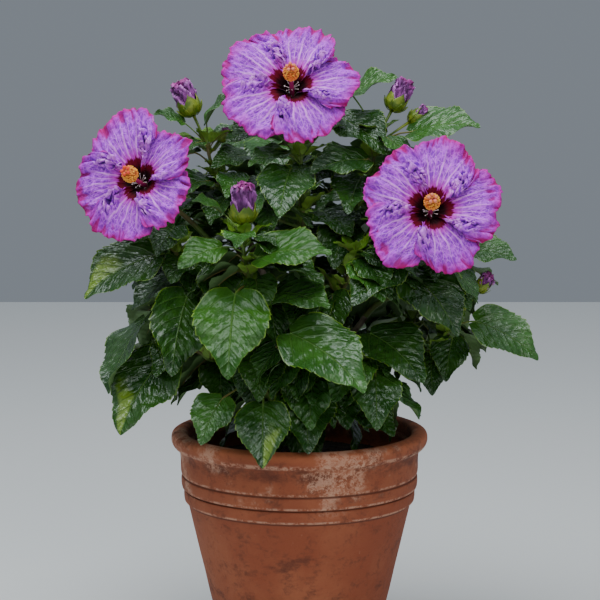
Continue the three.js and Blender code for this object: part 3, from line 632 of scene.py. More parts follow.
def lay_out(name, on_trunk, knee, tip=None, seed=0, twigs=0, grown=0, leaf=0):
    """A shoot with its bough's line and the line of the stem that goes on from the bough's tip."""
    shoot = {"name": name, "twigs": twigs, "grown": grown, "leaf": leaf}
    start = trunk_curve.at(on_trunk)
    if name in BLOOMS:
        shoot["bloom"] = BLOOMS[name]
        ending = BLOOMS[name]["axis"]
        last = BLOOMS[name]["at"] - ending * CALYX_LENGTH
    else:
        shoot["random"] = random_from(seed)
        ending = np.array((0, 0, 1.0))
        last = np.array(tip, float)
    if knee is None:
        return {**shoot, "stem": Path(rising_curve(start, last), STEM_STEPS)}
    knee = np.array(knee, float)
    run = knee - start
    bend = start + run * 0.5 + np.array((run[0] * 0.14, run[1] * 0.14, -run[2] * 0.1))
    bough = Curve(start, bend, knee)
    gap_end = knee + bough.leaving() * CLEAR
    length = np.linalg.norm(last - knee)
    stem = Curve(gap_end, gap_end + bough.leaving() * 0.35 * length, last - ending * 0.3 * length, last)
    return {**shoot, "bough": Path(bough, BOUGH_STEPS), "stem": Path(stem, STEM_STEPS)}


def lay_twigs(shoot):
    """The twigs of a mass leave its stem left and right in turn."""
    random = shoot["random"]
    outward = turn_of(shoot["stem"].at(1))
    twigs = []
    for k in range(shoot["twigs"]):
        turn = outward + (1 if k % 2 else -1) * mix(*TWIG_TURNS, next(random))
        start = shoot["stem"].at(TWIG_FIRST + TWIG_GAP * k)
        end = start + heading(turn) * mix(*TWIG_LENGTHS, next(random))
        end[2] += mix(*TWIG_RISES, next(random))
        twigs.append(Path(rising_curve(start, end), TWIG_STEPS))
    return twigs


def lay_fine_twigs(shoot):
    """The finer twigs that leave a bough on its inner side and fill the middle of the crown."""
    found = []
    for name, share, tip in FINE_TWIGS:
        if name == shoot["name"]:
            limb = shoot.get("bough", shoot["stem"])
            found.append(Path(rising_curve(limb.curve.at(share), np.array(tip, float)), TWIG_STEPS))
    return found


trunk_curve = Curve(TRUNK_FOOT, TRUNK_BEND, TRUNK_TIP)
for bloom in BLOOMS.values():
    rise = math.radians(bloom["rise"])
    bloom["axis"] = heading(bloom["turn"]) * math.cos(rise) + np.array((0, 0, math.sin(rise)))
    bloom["at"] = np.array(bloom["at"], float)
shoots = [lay_out(*row) for row in SHOOTS]
masses = [shoot for shoot in shoots if "bloom" not in shoot]
for mass in masses:
    mass["twig_paths"] = lay_twigs(mass)
    mass["fine_paths"] = lay_fine_twigs(mass)


# The trunk and the boughs: grey-brown wood with thin bark, a flare at the trunk's foot and a swelling where
# each bough leaves it. The trunk goes straight into the soil.
TRUNK_TIP_RADIUS = 6
FLARE_RADIUS = 17
FLARE_HEIGHT = 14
BOUGH_RADIUS = 5
BOUGH_TIP_RADIUS = 3.4
BOUGH_SWELLING = 2.2
BARK_RELIEF = 0.45
BARK_RIDGES = 0.16
TRUNK_SIDES = 26
BOUGH_SIDES = 14
NOISES_APART = (0, 31.7, 67.3)
BARK = (0.105, 0.078, 0.052)
BARK_PALE = (0.23, 0.19, 0.14)
BARK_DARK = (0.035, 0.024, 0.016)


def tube(points, radii, sides):
    """Points and faces of a closed round limb along a line of points."""
    points = np.asarray(points, float)
    ahead = np.gradient(points, axis=0)
    ahead /= np.linalg.norm(ahead, axis=1)[:, None]
    side = np.cross(ahead[0], (0, 0, 1) if abs(ahead[0][2]) < 0.9 else (1, 0, 0))
    angles = np.linspace(0, 2 * math.pi, sides, endpoint=False)
    rings = []
    for place, direction, radius in zip(points, ahead, radii):
        side = unit(side - direction * np.dot(side, direction))
        other = np.cross(direction, side)
        rings.append(place + radius * (np.cos(angles)[:, None] * side + np.sin(angles)[:, None] * other))
    foot = len(rings) * sides
    faces = round_faces(0, len(rings), sides, foot, foot + 1)
    return np.concatenate([*rings, points[:1], points[-1:]]), faces


def joined(parts):
    """Points and faces of several shapes as one."""
    points, faces, start = [], [], 0
    for part_points, part_faces in parts:
        points.append(part_points)
        faces += [tuple(start + index for index in face) for face in part_faces]
        start += len(part_points)
    return np.concatenate(points), faces


def bark_finish():
    finish = Finish("bark", roughness=0.85)
    place = finish.place()
    patches = finish.noise(place, 38, detail=5)
    streaks = finish.noise(place, 130, detail=4, stretch=(1, 1, 0.25))
    base = finish.colour(patches.ramp(0.42, 0.62), BARK, BARK_PALE)
    base = finish.colour(streaks.ramp(0.55, 0.7) * 0.8, base, BARK_DARK)
    finish.feed(base_color=base)
    finish.bump(streaks + patches * 0.5, 0.6, 0.001)
    return finish.material


def noises(places):
    """Three smooth random numbers, from -1 to 1, for every place."""
    return np.array([[noise.noise(Vector(place)) for place in places + apart] for apart in NOISES_APART]).T


def roughened(points, size, relief):
    """Points moved a little, as by the ridges of bark."""
    return points + relief * noises(points * (1, 1, 0.45) * size)


def trunk_radius(share):
    flare = (FLARE_RADIUS - TRUNK_RADIUS) * math.exp(-share * trunk_curve.length / (FLARE_HEIGHT / 2))
    return mix(TRUNK_RADIUS, TRUNK_TIP_RADIUS, share) + flare


def make_wood():
    shares = np.linspace(0.005, 1, 90)
    parts = [tube(trunk_curve.line(shares), [trunk_radius(s) for s in shares], TRUNK_SIDES)]
    for shoot in shoots:
        if "bough" in shoot:
            curve = shoot["bough"].curve
            shares = np.linspace(0.02, 1, 36)
            swelling = [BOUGH_SWELLING * math.exp(-s * curve.length / 7) for s in shares]
            radii = [mix(BOUGH_RADIUS, BOUGH_TIP_RADIUS, s) + more for s, more in zip(shares, swelling)]
            parts.append(tube(curve.line(shares), radii, BOUGH_SIDES))
    points, faces = joined(parts)
    points = roughened(points, BARK_RIDGES, BARK_RELIEF)
    points[:, 2] = np.maximum(points[:, 2], SOIL_TOP - 6)
    return make_object("trunk_and_boughs", points, faces, [bark_finish()])


wood = make_wood()
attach(wood, "root")
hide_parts("trunk", *[f"bough_{shoot['name']}" for shoot in shoots if "bough" in shoot])


# The young stems and twigs: this year's growth, still green, with a slight swelling at every leaf.
# Each goes on from the tip of its bough or out of the trunk.
STEM_TIP_RADIUS = 1.7
TWIG_RADIUS = 1.9
TWIG_TIP_RADIUS = 1.3
BLOOM_STEM_RADIUS = 2.4
STEM_SIDES = 10
TWIG_SIDES = 8
KNOB_RISE = 0.25
KNOBS = 44
STEM_GREEN = (0.10, 0.19, 0.025)
STEM_BROWN = (0.13, 0.11, 0.035)


def make_stems():
    parts = []
    for shoot in shoots:
        steps = np.linspace(-0.012, 1, 60)
        tip_radius = BLOOM_STEM_RADIUS if "bloom" in shoot else STEM_TIP_RADIUS
        knobs = [KNOB_RISE * max(0, math.sin(s * KNOBS)) ** 4 for s in steps]
        radii = [mix(BOUGH_TIP_RADIUS, tip_radius, max(0, s)) + knob for s, knob in zip(steps, knobs)]
        curve = shoot["stem"].curve
        start = curve.at(0) - (curve.at(0.02) - curve.at(0)) * 0.3
        parts.append(tube([start, *curve.line(steps[1:])], radii, STEM_SIDES))
        for path in shoot.get("twig_paths", []) + shoot.get("fine_paths", []):
            shares = np.linspace(0, 1, 22)
            radii = [mix(TWIG_RADIUS, TWIG_TIP_RADIUS, s) for s in shares]
            parts.append(tube(path.curve.line(shares), radii, TWIG_SIDES))
    finish = mottled("green_stem", 0.55, 45, 4, (0.42, 0.62), (STEM_GREEN, STEM_BROWN), (0.4, 0.0008))
    return make_object("green_stems", *joined(parts), [finish])


stems = make_stems()
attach(stems, "root")


# The leaves: glossy, egg-shaped with a drawn-out point, coarsely toothed and quilted between the veins. Each
# grows from a bud on its stem. The large ones of the front are placed one by one, the rest follow the buds in
# their turn, and small ones on the fine twigs close the openings in the crown.
LEAF_HALF_WIDTH = 0.4
LEAF_FOLD = 0.2
LEAF_WIDEST = 0.7
LEAF_LOBE = 0.09
LEAF_CURL = 34
LEAF_TEETH = 11
TOOTH_DEPTH = 0.09
STALK_LIFT = 36
STALK_SHARE = 0.36
LEAF_TURN = 137.5
LEAF_DROOPS = (58, 8)
DROOP_SPREAD = 16
LENGTH_SPREAD = (0.78, 1.12)
STALK_SPREAD = (0.8, 1.5)
ROLL_SPREAD = 22
TIP_SHARE = 0.9
TIP_SHRINK = 0.72
NEIGHBOUR_LEAD = 40
LEAF_TRIES = 60
MORE_TRIES = 260
MORE_LEAVES = 14
MORE_SHRINK = 0.8
GOLDEN_SHARE = 0.618
LEAF_SPACING = 7
FRONT_SPACING = 1.5
MORE_SPACING = 2.5
VIEW_SLOPE = 0.137
COVER_CELL = 9
COVER_SIDE = 96
COVER_TRIES = 650
COVER_SHARE = 0.22
COVER_SHRINKS = (0.85, 0.65)
COVER_SPACING = 0.8
COVER_MIDDLE = (0, 438)
COVER_REACH = (165, 145)
COVER_VIEWS = (FRONT, 180, LEFT, RIGHT)
FRONT_ROLL = 0.5
LIMB_SPACING = 2
STEM_NODES = 36
FIRST_NODE = 0.1
LAST_NODE = 0.97
CROWN_MIDDLE = np.array((0, -8, 440))
CROWN_REACH = np.array((240, 222, 246))
BLOOM_RADIUS = 82
FUNNEL_DEPTH = 34
COLUMN_LENGTH = 60
DARK, MID, BRIGHT, FADED = "dark", "mid", "bright", "faded"
FRONT_LEAVES = [
    # Foot of the blade, turn, droop, length, tone, and the roll where it isn't the usual one
    # The top, between the blooms
    (60, -25, 655, 65, -20, 60, MID), (45, -40, 630, 50, 30, 80, DARK), (125, -60, 615, 65, -5, 85, MID),
    (20, -40, 610, 45, -15, 50, DARK), (-35, -50, 620, -55, 15, 60, DARK), (-105, -45, 625, 60, -45, 50, MID),
    (-130, -50, 625, -60, -15, 40, MID), (75, -75, 585, -60, 10, 75, DARK), (70, -60, 565, -15, 30, 75, DARK),
    (25, -50, 580, -25, 30, 65, DARK), (-10, -85, 575, -10, 35, 85, DARK),
    (-85, -120, 530, -50, -20, 45, BRIGHT), (-60, -45, 588, -55, 15, 50, DARK),
    (-70, -55, 568, -15, 30, 50, MID),
    # The middle
    (-85, -150, 495, -55, 20, 60, BRIGHT), (-45, -160, 485, 65, -5, 90, BRIGHT),
    (-70, -160, 445, -5, 50, 110, BRIGHT), (-30, -120, 440, 45, 5, 90, MID),
    (105, -115, 475, -40, 30, 85, DARK), (25, -50, 525, 30, 20, 70, DARK), (21, -42, 497, 45, 25, 65, DARK),
    (52, -60, 510, -15, 40, 70, DARK),
    (-10, -150, 400, 55, 30, 115, MID), (10, -100, 430, -20, 20, 60, DARK),
    # The left side
    (-160, -95, 480, -75, 30, 95, FADED), (-175, -60, 405, -35, 50, 105, DARK, 25),
    (-125, -110, 435, -15, 55, 100, DARK, -40), (-150, -80, 365, -45, 50, 110, FADED),
    (-140, -70, 510, -20, 30, 60, DARK),
    # The right side
    (190, -60, 480, 55, 5, 65, MID), (125, -95, 460, 40, 40, 100, DARK), (200, -60, 400, 75, 30, 85, MID),
    (175, -50, 380, -15, 50, 60, DARK), (80, -85, 390, 45, 30, 95, DARK), (150, -50, 360, 0, 50, 55, DARK),
    # Low down, some of them over the rim
    (-85, -135, 325, -30, 45, 65, MID), (-40, -150, 320, 0, 50, 80, FADED),
    (-40, -110, 370, -5, 40, 70, DARK), (5, -105, 335, 5, 50, 90, DARK), (45, -85, 330, 10, 40, 65, DARK),
    (85, -115, 350, 0, 50, 75, DARK),
    (65, -75, 305, 45, 25, 65, DARK), (-91, -55, 352, 5, 45, 65, DARK),
]


def half_width(along):
    """Half of a blade's width at a share along the midrib, for a blade one unit long."""
    return LEAF_HALF_WIDTH * np.sin(math.pi * along ** LEAF_WIDEST) ** 0.8 * (1.04 - 0.16 * along)


def blade_points(leaf, across, along, lift, widen=1.0):
    """Points of a blade, from -1 to 1 across it and from 0 to 1 along it, lifted off its middle surface."""
    values = np.broadcast_arrays(across, along, lift)
    across, along, lift = (np.asarray(value, float)[..., None] for value in values)
    ahead = heading(leaf["turn"])
    side = np.array((-ahead[1], ahead[0], 0))
    up = np.array((0, 0, 1.0))
    bend = math.radians(LEAF_CURL)
    first = math.radians(leaf["droop"]) - bend / 2
    width = leaf["length"] * half_width(along) * across * np.asarray(widen)
    along = along - LEAF_LOBE * across ** 2 * (1 - along) ** 5
    angle = first + bend * along
    out = (np.sin(angle) - math.sin(first)) / bend
    down = (math.cos(first) - np.cos(angle)) / bend
    place = leaf["foot"] + leaf["length"] * (ahead * out - up * down)
    face = ahead * np.sin(angle) + up * np.cos(angle)
    roll = math.radians(leaf["roll"])
    rolled_side = side * math.cos(roll) + face * math.sin(roll)
    rolled_face = face * math.cos(roll) - side * math.sin(roll)
    return place + rolled_side * width + rolled_face * (np.abs(width) * LEAF_FOLD + lift)


TEST_SPOTS = np.meshgrid([0.1, 0.24, 0.38, 0.52, 0.66, 0.8, 0.98], [-0.95, -0.5, 0, 0.5, 0.95])
TEST_MIDDLE = TEST_SPOTS[0].size // 2
COVER_SPOTS = np.meshgrid(np.linspace(0.05, 0.95, 12), np.linspace(-0.9, 0.9, 9))


def spots(leaf, along, across):
    """Points spread over a blade."""
    return blade_points(leaf, across.ravel(), along.ravel(), 0.0)


def nearest(points, others):
    return math.sqrt(((points[:, None, :] - others[None, :, :]) ** 2).sum(axis=2).min())


def in_bloom(bloom, points):
    """Whether any point lies before a bloom's petals or between them."""
    offset = points - bloom["at"]
    ahead = offset @ bloom["axis"]
    radius = np.sqrt(np.maximum(0, (offset ** 2).sum(axis=1) - ahead ** 2))
    reach = BLOOM_RADIUS * bloom["size"]
    petals = FUNNEL_DEPTH * bloom["size"] * (1 - np.exp(-4.2 * np.minimum(1, radius / reach) ** 0.8))
    return bool(np.any((radius < reach + 2) & (ahead > petals - 9) & (ahead < COLUMN_LENGTH + 15)))


def has_room(points):
    """Whether a blade keeps out of the pot, the soil, the limbs and the blooms."""
    radius, height = np.hypot(points[:, 0], points[:, 1]), points[:, 2]
    if np.any((height < POT_HEIGHT + 5) & (radius > MOUTH_RADIUS - 6) & (radius < RIM_RADIUS + 6)):
        return False
    if np.any(height < SOIL_TOP + 6) or any(in_bloom(bloom, points) for bloom in BLOOMS.values()):
        return False
    gaps = np.sqrt(((points[:, None, :] - limb_points[None, :, :]) ** 2).sum(axis=2))
    return not np.any(gaps < limb_radii + LIMB_SPACING)


def in_crown(point):
    return float((((point - CROWN_MIDDLE) / CROWN_REACH) ** 2).sum()) < 1


def stalk_of(turn, length):
    """The step from a leaf's node to the foot of its blade."""
    lift = math.radians(STALK_LIFT)
    return heading(turn) * length * math.cos(lift) + np.array((0, 0, length * math.sin(lift)))


def new_leaf(node, turn, stalk, droop, length, roll):
    """A leaf with its stalk rising from its node."""
    foot = node + stalk_of(turn, stalk)
    return {"node": node, "foot": foot, "turn": turn, "droop": droop, "length": length, "roll": roll}


def front_leaf(x, y, z, turn, droop, length, tone, roll=None):
    """A leaf of the front, on the free node that suits its stalk best."""
    foot = np.array((x, y, z), float)
    start = foot - stalk_of(turn, STALK_SHARE * length)
    choices = []
    for mass in masses:
        for k in range(STEM_NODES + 1):
            if k not in mass["taken"]:
                node = mass["stem"].at(mix(FIRST_NODE, LAST_NODE, k / STEM_NODES))
                choices.append((float(np.linalg.norm(node - start)), len(choices), mass, node, k))
    _, _, mass, node, k = min(choices, key=lambda choice: choice[:2])
    mass["taken"].add(k)
    leaf = {"node": node, "foot": foot, "turn": turn, "droop": droop, "length": length, "tone": tone}
    leaf["roll"] = FRONT_ROLL * turn if roll is None else roll
    return leaf


def accept(leaf, spacing):
    """Keeps a leaf that has room of its own."""
    points = spots(leaf, *TEST_SPOTS)
    if not has_room(points):
        return False
    for other in leaves:
        reach = (leaf["length"] + other["length"]) * 0.65 + 12
        apart = np.linalg.norm(points[TEST_MIDDLE] - other["points"][TEST_MIDDLE])
        if apart < reach and nearest(points, other["points"]) < spacing:
            return False
    leaf["points"] = points
    leaves.append(leaf)
    note_cover(leaf)
    return True


def cells_of(points, view):
    """The small squares that a blade covers, seen from one side, unless it hangs on the far side."""
    ahead = heading(view)
    near = points @ ahead
    if view != FRONT and near.mean() < 0:
        return np.zeros(0, int)
    aside = points @ (-ahead[1], ahead[0], 0) / COVER_CELL + COVER_SIDE / 2
    up = (points[:, 2] + near * VIEW_SLOPE) / COVER_CELL
    return np.unique(aside.astype(int) * COVER_SIDE + up.astype(int))


def open_share(leaf):
    """How much of a blade would show in the openings in the middle of the crown, from its best side."""
    points = spots(leaf, *COVER_SPOTS)
    best = 0
    for view in COVER_VIEWS:
        cells = cells_of(points, view)
        if len(cells):
            best = max(best, np.mean(middle_cells[cells] & ~covered[view][cells]))
    return best


def note_cover(leaf):
    points = spots(leaf, *COVER_SPOTS)
    for view in COVER_VIEWS:
        covered[view][cells_of(points, view)] = True


def uncovered():
    return {view: np.zeros(COVER_SIDE ** 2, bool) for view in COVER_VIEWS}


def covers_front(leaf):
    """Whether a leaf would hang before the middle of one of the front's own leaves."""
    for other in front:
        step = leaf["points"][TEST_MIDDLE] - other["points"][TEST_MIDDLE]
        apart = math.hypot(step[0], step[2] - step[1] * VIEW_SLOPE)
        if step[1] < 0 and apart < 0.33 * other["length"] + 0.2 * leaf["length"]:
            return True
    return False


def grow_one(mass, path, share, turn, shrink, spacing, open_wanted=0):
    """One leaf of the rule: it turns some way outwards, and lower leaves hang more."""
    random = mass["random"]
    along = mix(FIRST_NODE + 0.05, LAST_NODE, share)
    node = path.at(along)
    away = unit((node - CROWN_MIDDLE) * (1, 1, 0))
    outward = turn_of(heading(turn) + away * 0.75)
    height = (node[2] - SOIL_TOP) / (CROWN_MIDDLE[2] + CROWN_REACH[2] - SOIL_TOP)
    droop = mix(*LEAF_DROOPS, height) + mix(-DROOP_SPREAD, DROOP_SPREAD, next(random))
    length = shrink * mass["leaf"] * mix(*LENGTH_SPREAD, next(random))
    length *= TIP_SHRINK if along > TIP_SHARE else 1
    stalk = length * STALK_SHARE * mix(*STALK_SPREAD, next(random))
    roll = mix(-ROLL_SPREAD, ROLL_SPREAD, next(random))
    leaf = new_leaf(node, outward, stalk, droop, length, roll)
    middle, tip = blade_points(leaf, np.zeros(2), np.array((0.5, 1.0)), 0.0)
    if not in_crown(middle) or not in_crown(tip):
        return False
    if open_wanted:
        leaf["points"] = spots(leaf, *TEST_SPOTS)
        if open_share(leaf) < open_wanted or covers_front(leaf):
            return False
    limit = nearest(middle[None], mass["dots"]) - NEIGHBOUR_LEAD
    if any(other is not mass and nearest(middle[None], other["dots"]) < limit for other in masses):
        return False
    return accept(leaf, spacing)


def grow_mass(mass, wanted, tries, shrink, spacing, open_wanted=0):
    paths = [mass["stem"], *mass["twig_paths"], *(mass["fine_paths"] if open_wanted else [])]
    turn = 360 * next(mass["random"])
    for k in range(tries):
        if wanted <= 0:
            break
        turn += LEAF_TURN
        share = (k * GOLDEN_SHARE) % 1
        wanted -= grow_one(mass, paths[k % len(paths)], share, turn, shrink, spacing, open_wanted)


limbs = [(Path(trunk_curve, 12).dotted(), TRUNK_RADIUS)]
for shoot in shoots:
    if "bough" in shoot:
        limbs.append((shoot["bough"].dotted(), BOUGH_RADIUS))
    shoot["dots"] = shoot["stem"].dotted()
    limbs.append((shoot["dots"], BOUGH_TIP_RADIUS if "bloom" in shoot else STEM_TIP_RADIUS + 1))
for mass in masses:
    mass["taken"] = set()
    limbs += [(path.dotted(), TWIG_RADIUS) for path in mass["twig_paths"] + mass["fine_paths"]]
limb_points = np.concatenate([points for points, _ in limbs])
limb_radii = np.concatenate([[radius] * len(points) for points, radius in limbs])
rows, columns = np.divmod(np.arange(COVER_SIDE ** 2), COVER_SIDE)
offset = (np.stack([rows - COVER_SIDE / 2, columns], axis=1) * COVER_CELL - COVER_MIDDLE) / COVER_REACH
middle_cells = (offset ** 2).sum(axis=1) < 1
leaves, covered = [], uncovered()
for row in FRONT_LEAVES:
    accept(front_leaf(*row), FRONT_SPACING)
front = list(leaves)
for mass in masses:
    grow_mass(mass, mass["grown"], LEAF_TRIES, 1, LEAF_SPACING)
for mass in masses:
    grow_mass(mass, MORE_LEAVES, MORE_TRIES, MORE_SHRINK, MORE_SPACING)
leaves = front + [leaf for leaf in leaves[len(front):] if not covers_front(leaf)]
covered = uncovered()
for leaf in leaves:
    note_cover(leaf)
for shrink in COVER_SHRINKS:
    for mass in masses:
        grow_mass(mass, MORE_LEAVES, COVER_TRIES, shrink, COVER_SPACING, COVER_SHARE)


# The blades and stalks of the leaves. Every blade is a closed skin with a knife edge, its two sides coloured
# apart, and its stalk runs on under it as the midrib.
BLADE_STARTS = (0.012, 0.035, 0.065)
BLADE_TEETH = (0.1, 0.955)
BLADE_ENDS = (0.972, 0.988)
TOOTH_PHASES = (0, 0.35, 0.7, 0.93)
FRONT_COLUMNS = (-1, -0.93, -0.62, -0.31, 0, 0.31, 0.62, 0.93, 1)
OTHER_COLUMNS = (-1, -0.88, -0.45, 0, 0.45, 0.88, 1)
YOUNG_COLUMNS = (-1, -0.6, 0, 0.6, 1)
OTHER_TEETH = 9
YOUNG_TEETH = 4
BLADE_THICKNESS = 0.008
VEIN_STEP = 0.135
VEIN_SLOPE = 0.85
VEIN_CURVE = 0.5
QUILT_RISE = 0.013
MARGIN_WAVE = 0.045
STALK_RADIUS = 1.15
LEAF_SEED = 8
YOUNG = "young"
YOUNG_LEAVES = 5
YOUNG_LENGTHS = (34, 12)
YOUNG_DROOPS = (-12, -68)
SIDE_DROOPS = (-65, -5)
YOUNG_NODES = (0.28, 0.4, 0.52, 0.64, 0.76, 0.88)
YOUNG_SIDES = ((-50, 13), (50, 15), (8, 30), (-100, 21))
FADED_GREEN = (0.15, 0.25, 0.022)
LEAF_TONES = {
    DARK: ((0.012, 0.052, 0.006), (0.026, 0.090, 0.009)),
    MID: ((0.023, 0.092, 0.010), (0.043, 0.142, 0.016)),
    BRIGHT: ((0.017, 0.075, 0.005), (0.033, 0.118, 0.008)),
    YOUNG: ((0.11, 0.27, 0.012), (0.20, 0.38, 0.025)),
}
LEAF_GLOSS = {
    # Roughness, shine and how far the surface is crumpled
    DARK: (0.24, 0.6, 1.6), MID: (0.26, 0.6, 1.4), BRIGHT: (0.31, 0.38, 1.3), YOUNG: (0.4, 0.3, 0.6),
}
LEAF_TONES[FADED], LEAF_GLOSS[FADED] = LEAF_TONES[DARK], LEAF_GLOSS[DARK]
LEAF_VEIN = (0.12, 0.27, 0.04)
LEAF_EDGE = (0.20, 0.34, 0.03)
UNDERSIDE = (0.10, 0.19, 0.06)
YOUNG_UNDERSIDE = (0.20, 0.36, 0.04)
LIT_DEPTH = -50
LIT_HEIGHT = 560
PALE_IN_LIGHT = 0.42
PALE_IN_SHADE = 0.25
STALK_GREEN = (0.12, 0.24, 0.03)
STALK_BROWN = (0.17, 0.14, 0.03)
STALK_SHARES = (-0.03, 0.2, 0.45, 0.72, 0.95)
MIDRIB_SHARES = np.array((0.05, 0.2, 0.36, 0.52, 0.7))
STALK_TAPER = (1.25, 1, 0.9, 0.88, 0.95, 0.9, 0.75, 0.6, 0.45, 0.25)
STALK_SIDES = 6


def blade_grid(teeth, shares):
    """The shares along and across a blade at its grid points, the widening by the teeth, and its faces."""
    low, high = BLADE_TEETH
    along, saw = list(BLADE_STARTS), [0.0] * len(BLADE_STARTS)
    for tooth in range(teeth):
        for phase in TOOTH_PHASES:
            along.append(mix(low, high, (tooth + phase) / teeth))
            saw.append(phase - 0.35)
    along += BLADE_ENDS
    saw += [0.0] * len(BLADE_ENDS)
    rows, columns = len(along), len(shares)
    across = np.tile(shares, rows)
    widen = 1 + TOOTH_DEPTH * np.repeat(saw, columns) * np.abs(across) ** 8
    along = np.repeat(along, columns)
    widen = 1 + (widen - 1) * smooth((along - 0.15) / 0.35)
    widen *= 0.97 - 0.2 * smooth((along - 0.5) / 0.3) * smooth((1 - along) / 0.12)
    foot, tip = 2 * rows * columns, 2 * rows * columns + 1
    below = rows * columns

    def under(i, k):
        return i * columns + k + (below if 0 < k < columns - 1 else 0)

    faces, sides = [], []
    for i in range(rows - 1):
        for k in range(columns - 1):
            low, high = i * columns + k, (i + 1) * columns + k
            faces.append((low, low + 1, high + 1, high))
            faces.append((under(i, k), under(i + 1, k), under(i + 1, k + 1), under(i, k + 1)))
            sides += [0, 1]
    last = rows - 1
    for k in range(columns - 1):
        faces.append((foot, k + 1, k))
        faces.append((foot, under(0, k), under(0, k + 1)))
        faces.append((tip, last * columns + k, last * columns + k + 1))
        faces.append((tip, under(last, k + 1), under(last, k)))
        sides += [0, 1, 0, 1]
    return across, along, widen, faces, sides


def blade_lift(leaf, across, along, wave):
    """How a blade stands off its plain surface: pillows between the side veins and a wavy margin."""
    x = np.abs(across) * half_width(along)
    vein = (along - VEIN_SLOPE * x - VEIN_CURVE * x ** 2) / VEIN_STEP
    pillow = 0.5 - 0.5 * np.cos(2 * math.pi * vein)
    inner = smooth(np.abs(across) / 0.3) * smooth((1.12 - np.abs(across)) / 0.5)
    body = smooth(along / 0.12) * smooth((1 - along) / 0.12)
    side = np.where(across > 0, wave[0], wave[1])
    margin = np.abs(across) ** 3 * np.sin(2 * math.pi * (along * (1.7 + wave[2]) + side))
    broad = np.sin(2 * math.pi * (along * 0.8 + wave[3])) * across ** 2 * 0.6
    return leaf["length"] * body * (QUILT_RISE * pillow * inner + MARGIN_WAVE * (margin + broad))


def make_blades(name, group, tone):
    parts, uv, slots = [], [], []
    random = np.random.default_rng(LEAF_SEED)
    for leaf in group:
        across, along, widen, faces, sides = grids[leaf["grid"]]
        slots += sides
        lift = blade_lift(leaf, across, along, random.random(4))
        top = blade_points(leaf, across, along, lift, widen[:, None])
        bottom = blade_points(leaf, across, along, lift - BLADE_THICKNESS * leaf["length"], widen[:, None])
        ends = blade_points(leaf, np.zeros(2), np.array((1e-6, 1.0)), 0.0)
        parts.append((np.concatenate([top, bottom, ends]), faces))
        outer = -1 if leaf["foot"][0] < -100 else 1
        layer = np.stack([across * outer * 0.5 + 0.5, along], axis=1)
        uv.append(np.concatenate([layer, layer, [(0.5, 0), (0.5, 1)]]))
    below = underside_finish(tone, YOUNG_UNDERSIDE if tone == YOUNG else UNDERSIDE)
    made = make_object(name, *joined(parts), [leaf_finish(tone), below])
    made.data.polygons.foreach_set("material_index", slots)
    lay_uv(made, "blade", np.concatenate(uv))
    made.data.set_sharp_from_angle(angle=math.radians(70))
    return drop_loose(made)


def lay_uv(made, name, uv):
    layer = made.data.uv_layers.new(name=name)
    corners = np.zeros(len(made.data.loops), int)
    made.data.loops.foreach_get("vertex_index", corners)
    layer.data.foreach_set("uv", uv[corners].ravel())


def drop_loose(made):
    """Takes away the points that no face uses."""
    work = bmesh.new()
    work.from_mesh(made.data)
    bmesh.ops.delete(work, geom=[v for v in work.verts if not v.link_faces], context="VERTS")
    work.to_mesh(made.data)
    work.free()
    return made


def blade_wires(finish):
    """The place on a blade across and along it, the count of its side veins, and the veins themselves."""
    across, along = finish.across_and_along("blade")
    across = across * 2 - 1
    half = (along ** LEAF_WIDEST * math.pi).sin() ** 0.8 * LEAF_HALF_WIDTH * (1.04 - along * 0.16)
    x = (across * half).abs()
    vein = (along - x * VEIN_SLOPE - x * x * VEIN_CURVE) / VEIN_STEP
    width = 0.13 - (vein * 0.05).at_most(0.07)
    side_vein = ((vein + 0.5).fraction() - 0.5).abs() / width
    side_vein = side_vein.ramp(1.0, 0.2) * across.abs().ramp(1.0, 0.65) * vein.ramp(-0.5, -0.3)
    midrib = x.ramp(0.012, 0.004) * along.ramp(1.0, 0.6)
    return across, along, x, vein, side_vein, midrib


def leaf_finish(tone):
    roughness, shine, crumple = LEAF_GLOSS[tone]
    finish = Finish(f"leaf_{tone}", roughness=roughness, specular_ior_level=shine)
    across, along, x, vein, side_vein, midrib = blade_wires(finish)
    place = finish.place()
    patches = finish.noise(place, 28, detail=3)
    base = finish.colour(patches.ramp(0.35, 0.65), *LEAF_TONES[tone])
    if tone == FADED:
        little, much = (patches - 0.5) * 0.5, (patches - 0.5) * 0.9
        fade = (across + little).ramp(0.0, 0.12) * (across + much).ramp(0.85, 0.6)
        fade = fade * (along + much).ramp(0.4, 0.65)
        base = finish.colour(fade * (1 - side_vein * 0.5), base, FADED_GREEN)
    base = finish.colour(midrib * 0.7 + side_vein * 0.22, base, LEAF_VEIN)
    base = finish.colour(across.abs().ramp(0.955, 0.995) * 0.7, base, LEAF_EDGE)
    finish.feed(base_color=base)
    drift = finish.noise(place, 9, detail=1)
    depth = drift * 12 + across.ramp(-0.01, 0.01) * 5
    flow = finish.add("ShaderNodeCombineXYZ", sockets={"X": vein * 1.3, "Y": x * 8, "Z": depth})
    streaks = finish.add("ShaderNodeTexNoise", sockets={"Vector": flow, "Scale": 1.0, "Detail": 2.0})
    pillow = (vein.fraction() - 0.5).abs() * 2
    quilt = (1 - pillow * pillow) * 0.5 - side_vein * 0.6 - midrib * 0.9
    ripple = finish.noise(place, 230, detail=2)
    finish.bump(quilt + (streaks - 0.5) * 2.4 * crumple + ripple * 0.55, 0.85, 0.0014)
    return finish.material


def underside_finish(tone, colour):
    finish = Finish(f"leaf_{tone}_underside", roughness=0.6)
    *_, side_vein, midrib = blade_wires(finish)
    finish.feed(base_color=finish.colour(side_vein * 0.6 + midrib * 0.4, colour, LEAF_VEIN))
    finish.bump(side_vein, 0.5, 0.001)
    return finish.material


